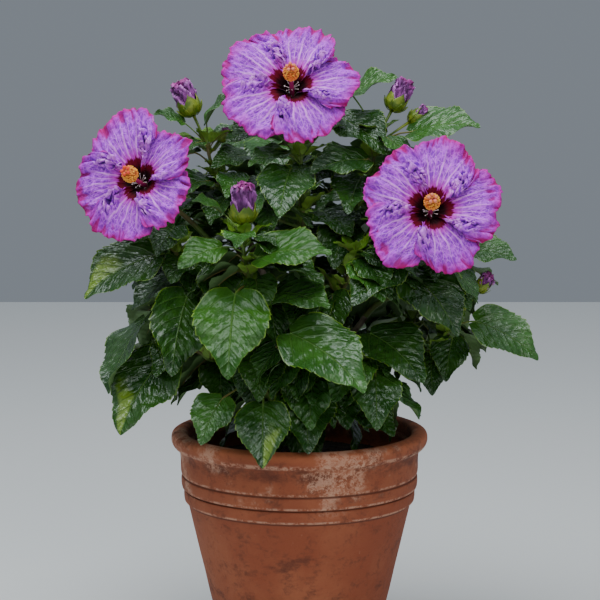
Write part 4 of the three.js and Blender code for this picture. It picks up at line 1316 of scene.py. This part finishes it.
def make_stalks(group):
    """Each stalk is a little bowed and thins out under its blade as the midrib."""
    parts = []
    for leaf in group:
        bow = np.array((0, 0, 0.05)) * leaf["length"]
        places = [mix(leaf["node"], leaf["foot"], s) + bow * math.sin(math.pi * s) for s in STALK_SHARES]
        lift = -(BLADE_THICKNESS + 0.002) * leaf["length"] * np.ones(len(MIDRIB_SHARES))
        places += list(blade_points(leaf, 0 * MIDRIB_SHARES, MIDRIB_SHARES, lift))
        thick = STALK_RADIUS * (0.55 + 0.45 * leaf["length"] / 80)
        parts.append(tube(places, [thick * taper for taper in STALK_TAPER], STALK_SIDES))
    finish = mottled("leaf_stalk", 0.5, 16, 2, (0.45, 0.6), (STALK_GREEN, STALK_BROWN))
    return make_object("leaf_stalks", *joined(parts), [finish])


def young_leaves(random):
    """The small upright leaves that crowd round the tip of every stem and at its nodes."""
    made = []
    for mass in masses:
        turn = 360 * random.random()
        for k in range(YOUNG_LEAVES):
            turn += LEAF_TURN
            share = k / YOUNG_LEAVES
            length = mix(*YOUNG_LENGTHS, share) * mix(0.85, 1.15, random.random())
            node = mass["stem"].at(mix(0.94, 1, share))
            made.append(new_leaf(node, turn, length * 0.3, mix(*YOUNG_DROOPS, share), length, 0))
        for share in YOUNG_NODES:
            turn += LEAF_TURN
            node = mass["stem"].at(share)
            for side, longest in YOUNG_SIDES:
                length = longest * mix(0.6, 1.2, random.random())
                droop = mix(*SIDE_DROOPS, random.random())
                made.append(new_leaf(node, turn + side, length * 0.25 + 2, droop, length, 0))
    return made


tones = np.random.default_rng(LEAF_SEED + 1)
for index, leaf in enumerate(leaves):
    leaf["grid"] = "front" if index < len(front) else "other"
    if "tone" not in leaf:
        # Painted light: a leaf at the front or high in the crown, where the lamps fall, is more often given
        # the paler mid tone than one in the middle or at the back.
        lit = leaf["foot"][1] < LIT_DEPTH or leaf["foot"][2] > LIT_HEIGHT
        leaf["tone"] = MID if tones.random() < (PALE_IN_LIGHT if lit else PALE_IN_SHADE) else DARK
young = young_leaves(tones)
for leaf in young:
    leaf["grid"], leaf["tone"] = "young", YOUNG
grids = {
    "front": blade_grid(LEAF_TEETH, FRONT_COLUMNS),
    "other": blade_grid(OTHER_TEETH, OTHER_COLUMNS),
    "young": blade_grid(YOUNG_TEETH, YOUNG_COLUMNS),
}
groups = {tone: [leaf for leaf in leaves if leaf["tone"] == tone] for tone in (MID, BRIGHT, FADED, DARK)}
dark = groups.pop(DARK)
groups["dark_front"] = [leaf for leaf in dark if leaf["foot"][1] < 0]
groups["dark_back"] = [leaf for leaf in dark if leaf["foot"][1] >= 0]
for name, group in groups.items():
    blades = make_blades(f"leaves_{name}", group, group[0]["tone"])
    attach(blades, "root")
    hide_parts(*[f"foliage_{mass['name']}" for mass in masses])
blades = make_blades("leaves_young", young, YOUNG)
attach(blades, "root")
stalks = make_stalks(leaves + young)
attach(stalks, "root")


# The petals of the open blooms: five a bloom, soft and crinkled, each lying over the next clockwise, with a
# crumpled crest beside the throat and a ruffled margin. They are joined at the foot, round the column.
PETALS = 5
NOISE_SHIFT = 0.37
PETAL_ROWS = 64
PETAL_COLUMNS = 84
PETAL_THICKNESS = 0.5
PETAL_LAP = 4.6
PETAL_SPREAD = 45.5
RUFFLE_RISE = 7
RUFFLE_STEP = 14
FRILL_STEP = 6
CREST_RISE = 12
CREST_STEP = 8
CRINKLE = 1.8
CRINKLE_STEP = 3.4
BROAD_STEP = 40
PETAL_LENGTHS = {
    "left_bloom": (1.08, 1.02, 0.95, 0.88, 0.86),
    "right_bloom": (1.0, 1.0, 0.97, 0.92, 0.98),
    "top_bloom": (0.96, 1.04, 1.05, 0.98, 0.93),
}
PETAL_BODY = (0.55, 0.050, 0.85)
PETAL_MOTTLE = (0.16, 0.007, 0.40)
PETAL_CREST_SHADE = (0.17, 0.008, 0.40)
PALE_VEIN_AND_HIGHLIGHT = (0.96, 0.36, 1.0)
PETAL_HALO = (0.72, 0.030, 0.50)
PETAL_MARGIN = (0.56, 0.009, 0.28)
PETAL_FOLD_SHADE = (0.36, 0.001, 0.07)
PETAL_EYE = (0.13, 0.0, 0.012)
PETAL_THROAT_SHADE = (0.014, 0.0, 0.0015)
PETAL_BACK = (0.72, 0.26, 0.82)
PETAL_BACK_VEIN = (0.52, 0.09, 0.62)
PETAL_CLAW = (0.55, 0.60, 0.30)


def shell(grid, thickness):
    """Points and faces of a thin closed sheet over a grid of points."""
    rows, columns = grid.shape[:2]
    normal = np.cross(np.gradient(grid, axis=0), np.gradient(grid, axis=1))
    normal /= np.maximum(np.linalg.norm(normal, axis=2), 1e-9)[..., None]
    above, below = grid + normal * thickness / 2, grid - normal * thickness / 2
    points = np.concatenate([above.reshape(-1, 3), below.reshape(-1, 3)])
    under = rows * columns
    faces = []
    for i in range(rows - 1):
        for k in range(columns - 1):
            low, high = i * columns + k, (i + 1) * columns + k
            faces.append((low, high, high + 1, low + 1))
            faces.append((under + low, under + low + 1, under + high + 1, under + high))
    rim = [i * columns for i in range(rows)]
    rim += [(rows - 1) * columns + k for k in range(1, columns)]
    rim += [i * columns + columns - 1 for i in range(rows - 2, -1, -1)]
    rim += list(range(columns - 2, 0, -1))
    for a, b in zip(rim, rim[1:] + rim[:1]):
        faces.append((b, a, under + a, under + b))
    return points, faces


def noise_field(points, size, seed):
    """Three smooth random numbers, from -1 to 1, for every point."""
    places = points / size + np.array((seed * 7.3, seed * 3.1, seed * 5.7)) + NOISE_SHIFT
    return noises(places.reshape(-1, 3)).reshape(points.shape)


def turned_to(axis, points, place):
    """Points of a frame whose axis is +Z, turned to another axis and moved to their place."""
    turn = Vector((0, 0, 1)).rotation_difference(Vector(axis)).to_matrix()
    return points @ np.array(turn).T + np.array(place)


def petal_grid(name, bloom, index):
    turn = math.radians(bloom["spin"] + 360 / PETALS * index)
    rows, columns = np.linspace(0.04, 1, PETAL_ROWS), np.linspace(-1, 1, PETAL_COLUMNS)
    along, across = np.meshgrid(rows, columns, indexing="ij")
    size = bloom["size"]
    seed = bloom["spin"] + 11 * index + 100 * (int(size * 1000) % 7)
    reach = BLOOM_RADIUS * size * PETAL_LENGTHS[name][index]
    spread = np.radians(PETAL_SPREAD)
    outline = 1 - 0.15 * across ** 2 - 0.18 * across ** 6
    flat = np.stack([across * spread * reach * along, along * reach, 0 * along], axis=2)
    margin = smooth((along - 0.6) / 0.4)
    ruffle = noise_field(flat * (1, 0.35, 1), RUFFLE_STEP * 0.6, seed + 1)
    frill = noise_field(flat * (1, 0.4, 1), FRILL_STEP * 0.6, seed + 5)
    broad = noise_field(flat, BROAD_STEP, seed + 2)
    crest = smooth((-across - 0.36) / 0.35) * smooth((along - 0.36) / 0.14) * smooth((0.9 - along) / 0.2)
    crumple = noise_field(flat, CREST_STEP * 0.5, seed + 3)
    crinkle = noise_field(flat * (1, 0.3, 1), CRINKLE_STEP, seed + 4)
    radius = reach * outline * (0.045 + 0.955 * along ** 1.25)
    edge = margin ** 3
    reach_change = edge * (ruffle[..., 0] * 4 + frill[..., 0] * 3 + broad[..., 0] * 11)
    radius += reach_change + crest * crumple[..., 0] * 5
    shift = crest * crumple[..., 1] * 6 + edge * (ruffle[..., 1] * 4 + frill[..., 1] * 2)
    angle = turn + across * spread + shift / np.maximum(radius, 12)
    rise = FUNNEL_DEPTH * (1 - np.exp(-3.6 * along)) - 6 * along ** 3
    height = rise * size - PETAL_LAP * across * smooth((along - 0.22) / 0.4)
    ruffles = margin * ruffle[..., 2] * RUFFLE_RISE + edge * frill[..., 2] * 3
    height += ruffles + 5 * smooth(along) * broad[..., 2]
    crinkles = CRINKLE * smooth((along - 0.2) / 0.4) * crinkle[..., 2]
    height += crest * (4 + crumple[..., 2] * CREST_RISE) + crinkles
    grid = np.stack([radius * np.cos(angle), radius * np.sin(angle), height], axis=2)
    fold = edge * (ruffle[..., 2] + frill[..., 2] * 0.8)
    layers = np.stack([across * 0.5 + 0.5, along, 0.5 + crest * crumple[..., 2], 0.5 + fold], axis=2)
    return grid, layers.reshape(-1, 4)


def vein_gap(across, along, drift, count):
    """How far a place lies from the nearest of the veins that fan out from a petal's foot."""
    return ((across * count + (drift - 0.5) * 0.5 + 0.5).fraction() - 0.5).abs() * along


def petal_finish():
    finish = Finish("petal", roughness=0.7, specular_ior_level=0.15)
    across, along = finish.across_and_along("petal")
    crest, fold = finish.across_and_along("relief")
    across = across * 2 - 1
    place = finish.place()
    mottle = finish.noise(place, 200, detail=3)
    drift = finish.noise(place, 45, detail=2)
    flat = finish.add("ShaderNodeCombineXYZ", sockets={"X": across * along * 13, "Y": along * 9})
    fan = finish.add("ShaderNodeCombineXYZ", sockets={"X": across * 11, "Y": along * 1.5})
    rays = finish.add("ShaderNodeTexNoise", sockets={"Vector": fan, "Scale": 1.0, "Detail": 3.0})
    settings = {"feature": "DISTANCE_TO_EDGE"}
    cells = finish.add("ShaderNodeTexVoronoi", settings, {"Vector": flat, "Scale": 1.3})

    def lines(count, width):
        return vein_gap(across, along, drift, count).ramp(width, width * 0.25)

    veins = lines(2.6, 0.075)
    veins = veins.at_least(lines(5.2, 0.06) * along.ramp(0.36, 0.5) * 0.85)
    veins = veins.at_least(lines(10.4, 0.05) * along.ramp(0.5, 0.66) * 0.6)
    net = cells.ramp(0.09, 0.02) * along.ramp(0.38, 0.55)
    base = finish.colour(mottle.ramp(0.38, 0.60) * (1 - net * 0.6) * 0.74, PETAL_BODY, PETAL_MOTTLE)
    base = finish.colour(net * 0.3 * along.ramp(1.0, 0.8), base, PALE_VEIN_AND_HIGHLIGHT)
    base = finish.colour(veins * 0.8 * along.ramp(0.97, 0.55), base, PALE_VEIN_AND_HIGHLIGHT)
    # Painted shade: the crumpled crest is darkened where its relief is low, in its hollows.
    base = finish.colour(crest.ramp(0.48, 0.3) * 0.85, base, PETAL_CREST_SHADE)
    # Painted highlight: the crest is made paler where its relief stands highest.
    base = finish.colour(crest.ramp(0.56, 0.8) * 0.35, base, PALE_VEIN_AND_HIGHLIGHT)
    halo = (along + (rays - 0.5) * 0.2).ramp(0.56, 0.3)
    base = finish.colour(halo * (1 - veins * 0.35) * 0.85, base, PETAL_HALO)
    rim = (along + (drift - 0.5) * 0.3).ramp(0.82, 1.05) * 0.55
    rim = rim + (along + (rays - 0.5) * 0.04).ramp(0.955, 0.99) * 0.35
    base = finish.colour(rim, base, PETAL_MARGIN)
    # Painted shade: the ruffled margin is darkened to deep red in the hollows of its folds.
    base = finish.colour(fold.ramp(0.44, 0.15) * 0.7, base, PETAL_FOLD_SHADE)
    eye = (along + (rays - 0.5) * 0.22 + (mottle - 0.5) * 0.05).ramp(0.40, 0.36)
    base = finish.colour(eye, base, PETAL_EYE)
    # Painted shade: deep in the throat, below the eye's own dark red, the colour goes to near black.
    base = finish.colour((along + (rays - 0.5) * 0.14).ramp(0.33, 0.22), base, PETAL_THROAT_SHADE)
    finish.feed(base_color=base)
    finish.bump(veins * 0.7 - net * 0.3 + mottle * 0.35, 0.55, 0.0009)
    return finish.material


def petal_back_finish():
    finish = Finish("petal_back", roughness=0.75, specular_ior_level=0.15)
    across, along = finish.across_and_along("petal")
    drift = finish.noise(finish.place(), 45, detail=2)
    veins = vein_gap(across * 2 - 1, along, drift, 5.2).ramp(0.09, 0.02)
    base = finish.colour(veins * 0.6, PETAL_BACK, PETAL_BACK_VEIN)
    base = finish.colour((along + (drift - 0.5) * 0.3).ramp(0.84, 1.04) * 0.6, base, PETAL_MARGIN)
    base = finish.colour(along.ramp(0.3, 0.1) * 0.8, base, PETAL_CLAW)
    finish.feed(base_color=base)
    finish.bump(veins, 0.5, 0.0008)
    return finish.material


petal_material = petal_finish()
petal_back_material = petal_back_finish()
for name, bloom in BLOOMS.items():
    side = name.replace("_bloom", "")
    parts, uv = [], []
    for index in range(PETALS):
        grid, layer = petal_grid(name, bloom, index)
        points, faces = shell(grid, PETAL_THICKNESS)
        parts.append((turned_to(bloom["axis"], points, bloom["at"]), faces))
        uv += [layer, layer]
    petals = make_object(f"petals_{side}", *joined(parts), [petal_material, petal_back_material])
    squares = (PETAL_ROWS - 1) * (PETAL_COLUMNS - 1)
    edges = len(parts[0][1]) - 2 * squares
    petals.data.polygons.foreach_set("material_index", ([0, 1] * squares + [0] * edges) * PETALS)
    lay_uv(petals, "petal", np.concatenate(uv)[:, :2])
    lay_uv(petals, "relief", np.concatenate(uv)[:, 2:])
    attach(petals, "root")
    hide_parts(f"bloom_{side}")


# The columns: each a slim crimson tube that stands out of the throat of its bloom and carries the anthers,
# with five small pads at its tip. It is one piece with the foot of the petals.
COLUMN_RADIUS = 2.9
COLUMN_TIP_RADIUS = 1.7
ANTHER_BALL = (8.0, 8.0, 9.6)
PAD_RADIUS = 2.1
COLUMN_RED = (0.42, 0.012, 0.12)
ANTHER_CORE = (0.55, 0.16, 0.02)
PAD_RED = (0.85, 0.07, 0.02)
PAD_PINK = (0.80, 0.22, 0.12)
SPECKS = 9
SPECK_PALE = (0.75, 0.62, 0.6)
SPECK_REACH = 8
SPECK_RADIUS = 0.7
PAD_REACH = 4.2
PAD_THREAD = 0.6
COLUMN_SIDES = 14
CORE_BACK = 10.5


def ball(place, radii, axis, rings=10, sides=14):
    """Points and faces of an ellipsoid that stands along an axis."""
    profile = [np.array((math.sin(a), -math.cos(a))) for a in np.linspace(0, math.pi, rings)]
    points, faces = turned(profile, sides)
    return turned_to(axis, points * radii, place), faces


def make_columns():
    columns, cores, red_pads, pink_pads, specks = [], [], [], [], []
    for name, bloom in BLOOMS.items():
        pads = red_pads if name == "left_bloom" else pink_pads
        axis, place = bloom["axis"], bloom["at"]
        length = COLUMN_LENGTH * bloom["size"]
        heights = np.linspace(2, length - 2, 16)
        droop = np.array((0, 0, -1.5))
        line = [place + axis * h + droop * math.sin(math.pi * h / length) for h in heights]
        radii = [mix(COLUMN_RADIUS, COLUMN_TIP_RADIUS, h / length) for h in heights]
        columns.append(tube(line, radii, COLUMN_SIDES))
        cores.append(ball(place + axis * (length - CORE_BACK), np.array(ANTHER_BALL) * 0.9, axis))
        for k in range(SPECKS):
            turn = 2 * math.pi * (k + 0.4 * math.sin(5 * k)) / SPECKS
            spot = (math.cos(turn) * SPECK_REACH, math.sin(turn) * SPECK_REACH, 22 + 3 * math.sin(3 * k))
            spot = turned_to(axis, np.array(spot), place)
            specks.append(ball(spot, (SPECK_RADIUS, SPECK_RADIUS, SPECK_RADIUS), axis, 6, 8))
            specks.append(tube([place + axis * 15, spot], [0.25, 0.2], 4))
        for k in range(PETALS):
            turn = 2 * math.pi * k / PETALS + 0.4
            tip = (math.cos(turn) * PAD_REACH, math.sin(turn) * PAD_REACH, length + 1.5)
            tip = turned_to(axis, np.array(tip), place)
            thread = [place + axis * (length - 3), (tip + place + axis * length) / 2, tip]
            columns.append(tube(thread, [PAD_THREAD] * 3, 6))
            pads.append(ball(tip, (PAD_RADIUS, PAD_RADIUS, PAD_RADIUS * 0.7), axis, 7, 10))
    kinds = (
        ("columns", columns, COLUMN_RED), ("anther_cores", cores, ANTHER_CORE),
        ("pads_red", red_pads, PAD_RED), ("pads_pink", pink_pads, PAD_PINK),
        ("throat_specks", specks, SPECK_PALE),
    )
    for name, parts, colour in kinds:
        finish = Finish(name, roughness=0.7, base_color=(*colour, 1))
        yield make_object(name, *joined(parts), [finish.material])


for piece in make_columns():
    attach(piece, "root")


# The anthers: small kidney-shaped grains of orange-yellow pollen that crowd round the end of each column.
# Each stands on a short thread that grows out of the column.
ANTHER_SIZE = 1.25
ANTHER_DENSITY = 400000
ANTHER_SEED = 3
ANTHER_YELLOW = (1.0, 0.50, 0.05)
ANTHER_ORANGE = (0.92, 0.24, 0.02)


def make_anthers():
    balls = []
    for bloom in BLOOMS.values():
        centre = bloom["at"] + bloom["axis"] * (COLUMN_LENGTH * bloom["size"] - CORE_BACK)
        balls.append(ball(centre, ANTHER_BALL, bloom["axis"], 14, 20))
    host = make_object("anther_balls", *joined(balls), [])
    finish = mottled("anthers", 0.75, 150, 1, (0.42, 0.62), (ANTHER_YELLOW, ANTHER_ORANGE))
    nodes = Scatter("anthers")
    points = nodes.add("GeometryNodeDistributePointsOnFaces", {"distribute_method": "POISSON"}, {
        "Mesh": nodes.host, "Distance Min": nodes.size * 1.25, "Density Max": nodes.density,
        "Seed": nodes.seed,
    })
    grain = nodes.add("GeometryNodeMeshIcoSphere", sockets={"Radius": 1.0, "Subdivisions": 2})
    sockets = {"Geometry": grain, "Scale": (1.0, 0.72, 0.8), "Translation": (0, 0, 0.5)}
    grain = nodes.add("GeometryNodeTransform", sockets=sockets)
    stretch = nodes.random((0.8, 0.7, 0.7), (1.15, 1.1, 1.1), nodes.seed)
    turn = Wire(nodes, points.socket.node.outputs["Rotation"])
    nodes.set_out(points, grain, turn, stretch, finish)
    return nodes.grown(host, "anthers", ANTHER_DENSITY, ANTHER_SIZE * MM, ANTHER_SEED)


anthers = make_anthers()
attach(anthers, "root")


# The sepals and bracts: a green cup of five pointed lobes behind every bloom and round every bud, with a ring
# of narrow bracts under it. They grow from the end of the stalk.
SEPALS = 5
BRACTS = 8
SEPAL_THICKNESS = 0.7
SEPAL_GREEN = (0.085, 0.155, 0.008)
SEPAL_PALE = (0.20, 0.26, 0.014)
CALYX_RADIUS = 10
LARGE_BUD = 30


def lobe(turn, half_angle, profile, flare, rows, columns):
    """A grid for one pointed lobe that follows a round profile, its tip bent outwards by the flare."""
    along, across = np.meshgrid(np.linspace(0, 1, rows), np.linspace(-1, 1, columns), indexing="ij")
    radius = np.interp(along, *profile[0]) + flare * along ** 4 + 0.06 * across ** 2
    height = np.interp(along, *profile[1])
    width = half_angle * (1 - smooth((along - 0.45) / 0.57) * 0.97)
    angle = turn + across * width
    return np.stack([radius * np.cos(angle), radius * np.sin(angle), height], axis=2)[:, ::-1]


def sepal_parts(axis, foot, size, wide, long, flare):
    """Five sepals and their bracts round an axis, from the foot of a bud or a bloom."""
    sepal = ((0, 0.12, 0.35, 0.7, 1), wide * np.array((0.35, 0.85, 1.06, 1.02, 0.86))), ((0, 1), (0, long))
    bract = ((0, 0.2, 0.6, 1), wide * np.array((0.36, 0.8, 1.15, 1.3))), ((0, 1), (-1.5, long * 0.5))
    parts = []
    for count, first, half_angle, profile, rows, columns in (
        (SEPALS, 0, 40, sepal, 16, 9), (BRACTS, 0.5, 9, bract, 9, 5),
    ):
        for k in range(count):
            turn = 2 * math.pi * (k + first) / count
            grid = lobe(turn, math.radians(half_angle), profile, flare, rows, columns)
            points, faces = shell(grid, SEPAL_THICKNESS * size)
            parts.append((turned_to(axis, points, foot), faces))
    return parts


def bud_places():
    """Where each bud's stalk starts and ends, and the bud's axis and size."""
    found = []
    for mass in masses:
        for index, (turn, lean, length, size) in enumerate(BUDS.get(mass["name"], [])):
            start = mass["stem"].at(LAST_NODE - 0.04 * (index + 1))
            lean = math.radians(lean)
            axis = heading(turn) * math.sin(lean) + np.array((0, 0, math.cos(lean)))
            found.append((start, start + axis * length, axis, size))
    return found


def make_sepals():
    parts = []
    for bloom in BLOOMS.values():
        foot = bloom["at"] - bloom["axis"] * CALYX_LENGTH
        parts += sepal_parts(bloom["axis"], foot, bloom["size"] * 1.3, CALYX_RADIUS, 27, 2)
    for start, foot, axis, size in bud_places():
        parts.append(tube([start, mix(start, foot, 0.5), foot + axis], [1.3, 1.2, 1.9], 8))
        long = size * (0.64 if size > LARGE_BUD else 0.82)
        parts += sepal_parts(axis, foot, size / 34, size * 0.33, long, size * 0.02)
    finish = mottled("sepal", 0.5, 120, 3, (0.4, 0.6), (SEPAL_GREEN, SEPAL_PALE), (0.3, 0.0006))
    return make_object("sepals", *joined(parts), [finish])


sepals = make_sepals()
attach(sepals, "root")


# The buds: petals still rolled round each other in a pointed purple cone, soft and crumpled at the top. Each
# is held by its sepals at the end of a stalk of its own.
BUD_FOLDS = 5
BUD_TWIST = 1.3
BUD_PURPLE = (0.32, 0.065, 0.33)
BUD_DARK = (0.085, 0.009, 0.10)
BUD_CRUMPLE = 4.2


def bud_finish():
    finish = Finish("bud_petal", roughness=0.6)
    streaks = finish.noise(finish.place(), 150, detail=4, stretch=(1, 1, 0.3))
    ridge, along = finish.across_and_along("bud")
    base = finish.colour(streaks.ramp(0.4, 0.6), BUD_DARK, BUD_PURPLE)
    # Painted shade and highlight: each rolled petal is darkened where it tucks in under the next and made
    # paler along its outer edge, where it stands out.
    base = finish.colour(ridge.ramp(0.35, 0.02) * 0.8, base, BUD_DARK)
    base = finish.colour(ridge.ramp(0.72, 0.97) * 0.5, base, PALE_VEIN_AND_HIGHLIGHT)
    base = finish.colour(along.ramp(0.86, 1.0) * 0.4, base, PETAL_MARGIN)
    finish.feed(base_color=base)
    finish.bump(streaks, 0.5, 0.0008)
    return finish.material


def make_buds():
    parts, uv = [], []
    for start, foot, axis, size in bud_places():
        wide = size * 0.31
        shares = np.linspace(0.02, 1, 34)
        radii = np.interp(shares, (0, 0.25, 0.55, 0.86, 0.96, 1), (0.5, 0.95, 1.02, 0.96, 0.8, 0.4)) * wide
        high = size * (1.08 if size > LARGE_BUD else 0.98)
        profile = [(0, 0), *zip(radii, shares * high), (0, high * 0.95)]
        points, faces = turned([np.array(p) for p in profile], 72)
        angle = np.arctan2(points[:, 1], points[:, 0])
        height = points[:, 2] / high
        fold = (BUD_FOLDS * angle / (2 * math.pi) + BUD_TWIST * height) % 1
        points[:, :2] *= (0.84 + 0.32 * fold ** 1.5 * smooth(height / 0.4))[:, None]
        crumple = noise_field(points * (1, 1, 0.3), size * 0.07, size)
        points += crumple * (BUD_CRUMPLE * size / 40 * (0.4 + smooth((height - 0.35) / 0.6)))[:, None]
        parts.append((turned_to(axis, points, foot), faces))
        uv.append(np.stack([fold, height], axis=1))
    made = make_object("buds", *joined(parts), [bud_finish()])
    lay_uv(made, "bud", np.concatenate(uv))
    return made


buds = make_buds()
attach(buds, "root")


# The pale floor that the pot stands on, and the soft light of an overcast sky, brighter overhead than at its
# edge. Two wide lights give it a direction: one from above and a weaker one from the front.
SKY = (0.62, 0.70, 0.80)
SKY_STRENGTH = 0.32
SKY_RISE = 0.4
FLOOR = (0.62, 0.62, 0.6)
FLOOR_REACH = 3000
CORNERS = ((-1, -1), (1, -1), (1, 1), (-1, 1))


def soft_light(name, place, aim, size, power, colour):
    light = linked(name, bpy.data.lights.new(name, "AREA"))
    light.data.shape, light.data.size, light.data.energy, light.data.color = "SQUARE", size, power, colour
    light.location = place
    light.rotation_euler = (Vector(aim) - Vector(place)).to_track_quat("-Z", "Y").to_euler()


world = bpy.data.worlds.new("overcast")
world.use_nodes = True
sky = Nodes(world.node_tree)
outward = sky.add("ShaderNodeTexCoord", output="Generated")
rise = sky.add("ShaderNodeSeparateXYZ", sockets={"Vector": outward}, output="Z")
backdrop = world.node_tree.nodes["Background"]
backdrop.inputs["Color"].default_value = (*SKY, 1)
sky.tree.links.new((SKY_STRENGTH + SKY_RISE * rise.ramp(0.1, 0.9)).socket, backdrop.inputs["Strength"])
bpy.context.scene.world = world
soft_light("overhead", (-0.4, -0.4, 2.5), (0, 0, 0.45), 2.2, 70, (0.91, 0.965, 1.0))
soft_light("front", (0.9, -2.6, 1.7), (0, 0, 0.4), 1.6, 20, (1.0, 0.98, 0.96))

floor_finish = Finish("floor", roughness=0.9, base_color=(*FLOOR, 1))
floor_points = [(FLOOR_REACH * x, FLOOR_REACH * y, 0) for x, y in CORNERS]
floor = make_object("floor", floor_points, [(0, 1, 2, 3)], [floor_finish.material])
